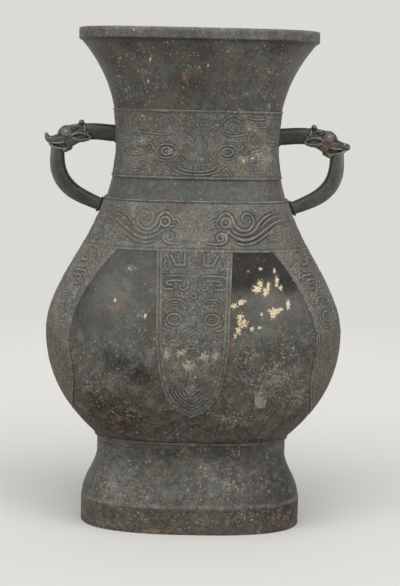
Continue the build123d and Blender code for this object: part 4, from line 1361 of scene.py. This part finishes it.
def headPiece(sideName, direction):
    # the fused head, clipped at its reach; hollows darkened with earth and painted shade, ridges rubbed
    # paler, a painted highlight on each eye, the right cheek rusty
    shapes = [flipped(shape, direction) for shape in beastShapes(noses[sideName])]
    mesh = fusedMesh(sideName + "BeastHead", shapes)
    points = np.empty(len(mesh.vertices) * 3, dtype=np.float32)
    mesh.vertices.foreach_get("co", points)
    points = points.reshape(-1, 3).astype(float) / mm
    points[:, 0] = np.clip(points[:, 0], -handle["tipReach"], handle["tipReach"])
    mesh.vertices.foreach_set("co", (points * mm).astype(np.float32).ravel())
    mesh.update()
    hollow = hollowShare(mesh, points)
    inPlane = points * np.array([direction, 0, 1])
    eye = np.linalg.norm((inPlane - np.array(handle["eye"])) / handle["eyeGlintRadius"], axis=1)
    cheek = np.linalg.norm(inPlane - np.array(handle["rustyCheek"]), axis=1)
    # hollows dark with earth and painted shade; ridges paler from rubbing, each eye paler as a painted
    # highlight
    setMarks(mesh, {
        "groove": smoothStep(0.02, 0.12, hollow),
        "wearAndHighlight": np.maximum(smoothStep(0.02, 0.1, -hollow), 0.95 * (1 - smoothStep(0.3, 1.0, eye))),
        "rust": (1 - smoothStep(*handle["rustReach"], cheek)) * (direction > 0),
    })
    addPiece(mesh, gripBronze, sideName + "_handle_head")
    print(sideName, "head", len(mesh.polygons))


def loopPiece(sideName, direction):
    # a soft-cornered bar from the beast's mouth to the shoulder, a little dented by wear, its outer side
    # painted paler as a painted highlight
    path, half = curvePath(loopBar["path"], 14), curvePath(loopBar["half"], 14)
    rings = tubeRings(path, half, power=2.7, dome=0.3) * np.array([direction, 1.0, 1.0])
    centre = rings.mean(axis=1, keepdims=True)
    dents = 0.985 + 0.03 * (valueNoise(rings, 9.0, 3) - 0.5) - 0.015 * valueNoise(rings, 2.4, 2)
    rings = centre + (rings - centre) * dents[..., None]
    outer = np.clip((rings - centre)[..., 0] * direction / 6.0, 0, 1)
    # painted highlight: the outer side paler and lighter
    marks = {"wearAndHighlight": 0.6 * outer**2, "tone": loopBar["tone"][sideName] + 0.06 * outer}
    mesh = meshFromShapes(sideName + "Loop", [shapeFromRings(rings)], marks)
    addPiece(mesh, gripBronze, sideName + "_handle_loop")


sides = {"right": 1, "left": -1}
for sideName, direction in sides.items():
    headPiece(sideName, direction)
    loopPiece(sideName, direction)
print("handles ready")

# Solder runs: rings lie on an oval of the wall, roots go round a handle's bar

solderRings = {
    "neckSeam": {"plan": grownPlan(vessel["neckRootPlan"], 0.4), "level": ledge + 0.1, "radius": 0.75,
                 "flatten": 0.7, "tone": 0.3, "node": "neck_seam_solder"},
    "footSeam": {"plan": grownPlan(vessel["footTopPlan"], 0.1), "level": footTop - 1.6, "radius": 1.75,
                 "flatten": 1.0, "tone": 0.0, "node": "foot_seam_solder"},
}
solderRoots = {
    "Arm": {"centre": (66.0, 0.0, 316.9), "radii": (6.6, 5.6), "bar": (1.0, 0.0, 0.05),
            "bead": 1.1, "tone": -0.22, "node": "_arm_solder"},
    "Loop": {"centre": (78.6, 0.0, 259.3), "radii": (5.4, 5.0), "bar": (-0.93, 0.0, -0.37),
             "bead": 1.1, "tone": -0.22, "node": "_loop_solder"},
}
ringColumns, rootColumns = 520, 72


def ringBead(name, bead):
    # a lumpy round bead carried along an oval: its radius wanders with noise
    plans = bead["plan"][None]
    line = ovalGrid(plans, np.array([bead["level"]]), ringLengths(plans, ringColumns))[0]
    size = bead["radius"] * (0.45 + 1.1 * valueNoise(line, 5.0, 3))
    half = np.stack([size * bead["flatten"], size], axis=1)
    rings = tubeRings(line, half, reference=(0.0, 0.0, 1.0), closed=True)
    marks = {"tone": bead["tone"] + 0.5 * (valueNoise(rings, 7.0, 3) - 0.5)}
    addPiece(meshFromShapes(name, [shapeFromRings(rings, True)], marks), solder, bead["node"])


def rootBead(sideName, direction, rootName, root):
    # a lumpy ring round the root of a handle, square to the bar's own direction
    angle = np.linspace(0, 2 * np.pi, rootColumns, endpoint=False)
    along = np.array(root["bar"]) / np.linalg.norm(root["bar"])
    upward = np.cross(np.array([0.0, 1.0, 0.0]), along)
    reach = (np.abs(np.cos(angle)) ** 3 + np.abs(np.sin(angle)) ** 3) ** (-1 / 3)
    path = np.array(root["centre"]) + upward * (root["radii"][0] * np.cos(angle) * reach)[:, None]
    path[:, 1] += root["radii"][1] * np.sin(angle) * reach
    size = root["bead"] * (0.6 + 0.7 * valueNoise(path, 5.0, 3))
    rings = tubeRings(path, np.stack([size, size], axis=1), reference=tuple(along), closed=True)
    rings = rings * np.array([direction, 1.0, 1.0])
    marks = {"tone": root["tone"] + 0.3 * (valueNoise(rings, 4.0, 2) - 0.5)}
    mesh = meshFromShapes(sideName + rootName + "Root", [shapeFromRings(rings, True)], marks)
    addPiece(mesh, solder, sideName + root["node"])


for name, bead in solderRings.items():
    ringBead(name, bead)
for sideName, direction in sides.items():
    for rootName, root in solderRoots.items():
        rootBead(sideName, direction, rootName, root)

patch = {
    "u": 54.6,
    "level": 113.0,
    "width": 12.0,
    "height": 16.0,
    "widerAbove": (116.0, 118.0),
    "sunk": 2.6,
    "columns": 44,
    "rows": 54,
}


def patchPiece():
    # a small rough plate on the belly's own curve, ragged at the sides and worn down to its rim; every
    # level is a closed slice
    levels = patch["level"] + np.linspace(-0.5, 0.5, patch["rows"]) * patch["height"]
    plans = insetPlan(bellyPlan, levels, bellyWall["recess"] * 0.75)
    spread = np.linspace(-0.5, 0.5, patch["columns"]) * patch["width"]
    strip = levels[:, None] * np.array([1.0, 0.0, 0.0])
    wider = 0.1 * smoothStep(*patch["widerAbove"], levels)
    ragged = 0.9 + 0.22 * (valueNoise(strip, 4.0, 3) - 0.5) + wider
    grid = ovalGrid(plans, levels, patch["u"] + spread[None, :] * ragged[:, None])
    normal = gridNormals(grid, False)
    rim = np.minimum(np.abs(np.abs(spread) - patch["width"] / 2)[None, :],
                     np.abs(np.abs(levels - patch["level"]) - patch["height"] / 2)[:, None])
    lift = 0.25 - 0.6 * valueNoise(grid, 3.0, 3) - 0.7 * (1 - smoothStep(0.0, 1.6, rim))
    back = (grid - normal * patch["sunk"])[:, ::-1][:, ::4]
    rings = np.concatenate([grid + normal * lift[..., None], back], axis=1)
    return meshFromShapes("castingPatch", [shapeFromRings(rings)])


addPiece(patchPiece(), patchSkin, "casting_patch")
for node, finish in (("base_plate", bronze), ("base_plate_solder", solder)):
    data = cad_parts[node].data
    data.materials.clear()
    data.materials.append(finish)
print("solder and patch ready")

# Floor, backdrop, light and camera, in metres

stage = {
    "paper": "#dcdad5",
    "glow": "#e4e4e6",
    "glowStrength": 0.42,
    "reach": 3.0,
    "front": -4.0,
    "depth": 2.2,
    "bend": 0.9,
    "rise": 2.6,
    "fade": (0.35, 1.3),
}


def seenDirectly(tree):
    # 1 for rays from the camera, through glass or in a reflection, 0 for rays that only carry light
    seen = 0.0
    for ray in ("Is Camera Ray", "Is Transmission Ray", "Is Glossy Ray"):
        source = addNode(tree, "LightPath", output=ray)
        seen = addNode(tree, "Math", {0: source, 1: seen}, operation="MAXIMUM")
    return seen


def studioPaper():
    # matt pale paper, seen in one even tone away from the object
    material = bpy.data.materials.new("studioPaper")
    tree, paper = emptyTree(material), linearColour(stage["paper"])
    surface = addNode(tree, "BsdfPrincipled", {"Base Color": paper, "Roughness": 0.9})
    even = addNode(tree, "Emission", {"Color": paper, "Strength": 1.0})
    coords = addNode(tree, "TexCoord", output="Object")
    distance = addNode(tree, "VectorMath", {0: coords}, "Value", operation="LENGTH")
    near, far = stage["fade"]
    away = addNode(tree, "MapRange", {"Value": distance, "From Min": near, "From Max": far})
    share = addNode(tree, "Math", {0: away, 1: seenDirectly(tree)}, operation="MULTIPLY")
    mixed = addNode(tree, "MixShader", {0: share, 1: surface, 2: even})
    addNode(tree, "OutputMaterial", {"Surface": mixed})
    return material


def stageSheet():
    # a pale sheet: flat floor, a quarter-round bend, then an upright back; carried along X
    turn = np.linspace(0, np.pi / 2, 25)
    back = stage["depth"] + stage["bend"]
    y = np.concatenate([[stage["front"], 0.0], stage["depth"] + stage["bend"] * np.sin(turn), [back]])
    z = np.concatenate([[0.0, 0.0], stage["bend"] * (1 - np.cos(turn)), [stage["rise"]]])
    ends = [np.stack([np.full(len(y), end), y, z], axis=1) for end in (-stage["reach"], stage["reach"])]
    index = np.arange(len(y) * 2).reshape(-1, 2)
    quads = np.stack([index[:-1, 0], index[:-1, 1], index[1:, 1], index[1:, 0]], axis=1)
    mesh = bpy.data.meshes.new("studioSheet")
    mesh.from_pydata(np.stack(ends, axis=1).reshape(-1, 3).tolist(), [], quads.tolist())
    mesh.polygons.foreach_set("use_smooth", np.ones(len(mesh.polygons), dtype=bool))
    mesh.materials.append(studioPaper())
    sheet = bpy.data.objects.new("studioSheet", mesh)
    scene.collection.objects.link(sheet)


lamps = {
    "top": {"place": (0.0, -0.9, 1.8), "aim": (0.0, 0.0, 0.22), "size": 1.6, "power": 25.6},
    "left": {"place": (-1.5, -1.2, 0.9), "aim": (0.0, 0.0, 0.22), "size": 1.0, "power": 10.2},
    "right": {"place": (1.5, -1.0, 0.9), "aim": (0.0, 0.0, 0.22), "size": 1.0, "power": 10.6},
    "back": {"place": (0.0, 1.0, 1.9), "aim": (0.0, 3.1, 0.6), "size": 1.6, "power": 30.0},
}


def addLamp(name, lamp):
    # a square softbox whose own minus Z looks from its place to its aim
    light = bpy.data.lights.new(name + "Softbox", "AREA")
    light.size = lamp["size"]
    light.energy = lamp["power"]
    holder = bpy.data.objects.new(name + "Softbox", light)
    scene.collection.objects.link(holder)
    place, aim = np.array(lamp["place"]), np.array(lamp["aim"])
    back = (place - aim) / np.linalg.norm(place - aim)
    right = np.cross([0.0, 0.0, 1.0], back)
    right = right / np.linalg.norm(right)
    turn = np.eye(4)
    turn[:3, :3] = np.stack([right, np.cross(back, right), back], axis=1)
    turn[:3, 3] = place
    holder.matrix_world = Matrix(turn.tolist())


def addWorld():
    # a soft even glow, and the paper's own tone where the world is seen directly
    scene.world = bpy.data.worlds.new("studioWorld")
    sky = emptyTree(scene.world)
    glowColour, paper = linearColour(stage["glow"]), linearColour(stage["paper"])
    glow = addNode(sky, "Background", {"Color": glowColour, "Strength": stage["glowStrength"]})
    backdrop = addNode(sky, "Background", {"Color": paper, "Strength": 1.0})
    mixed = addNode(sky, "MixShader", {0: seenDirectly(sky), 1: glow, 2: backdrop})
    addNode(sky, "OutputWorld", {"Surface": mixed})


camera = {
    "place": (0.0048, -1.305, 0.3413),
    "tiltDown": 6.702,
    "roll": 1.3,
    "lens": 65.53,
    "sensorHeight": 24.0,
}


def addCamera():
    # level along +Y, tilted down, then rolled about its own view
    data = bpy.data.cameras.new("studioCamera")
    data.sensor_fit = "VERTICAL"
    data.sensor_height = camera["sensorHeight"]
    data.lens = camera["lens"]
    holder = bpy.data.objects.new("studioCamera", data)
    scene.collection.objects.link(holder)
    tilt = Matrix.Rotation(math.radians(90 - camera["tiltDown"]), 4, "X")
    roll = Matrix.Rotation(math.radians(camera["roll"]), 4, "Z")
    holder.matrix_world = Matrix.Translation(camera["place"]) @ tilt @ roll
    scene.camera = holder


stageSheet()
for name, lamp in lamps.items():
    addLamp(name, lamp)
addWorld()
addCamera()
scene.view_settings.view_transform = "Standard"
print("stage ready")
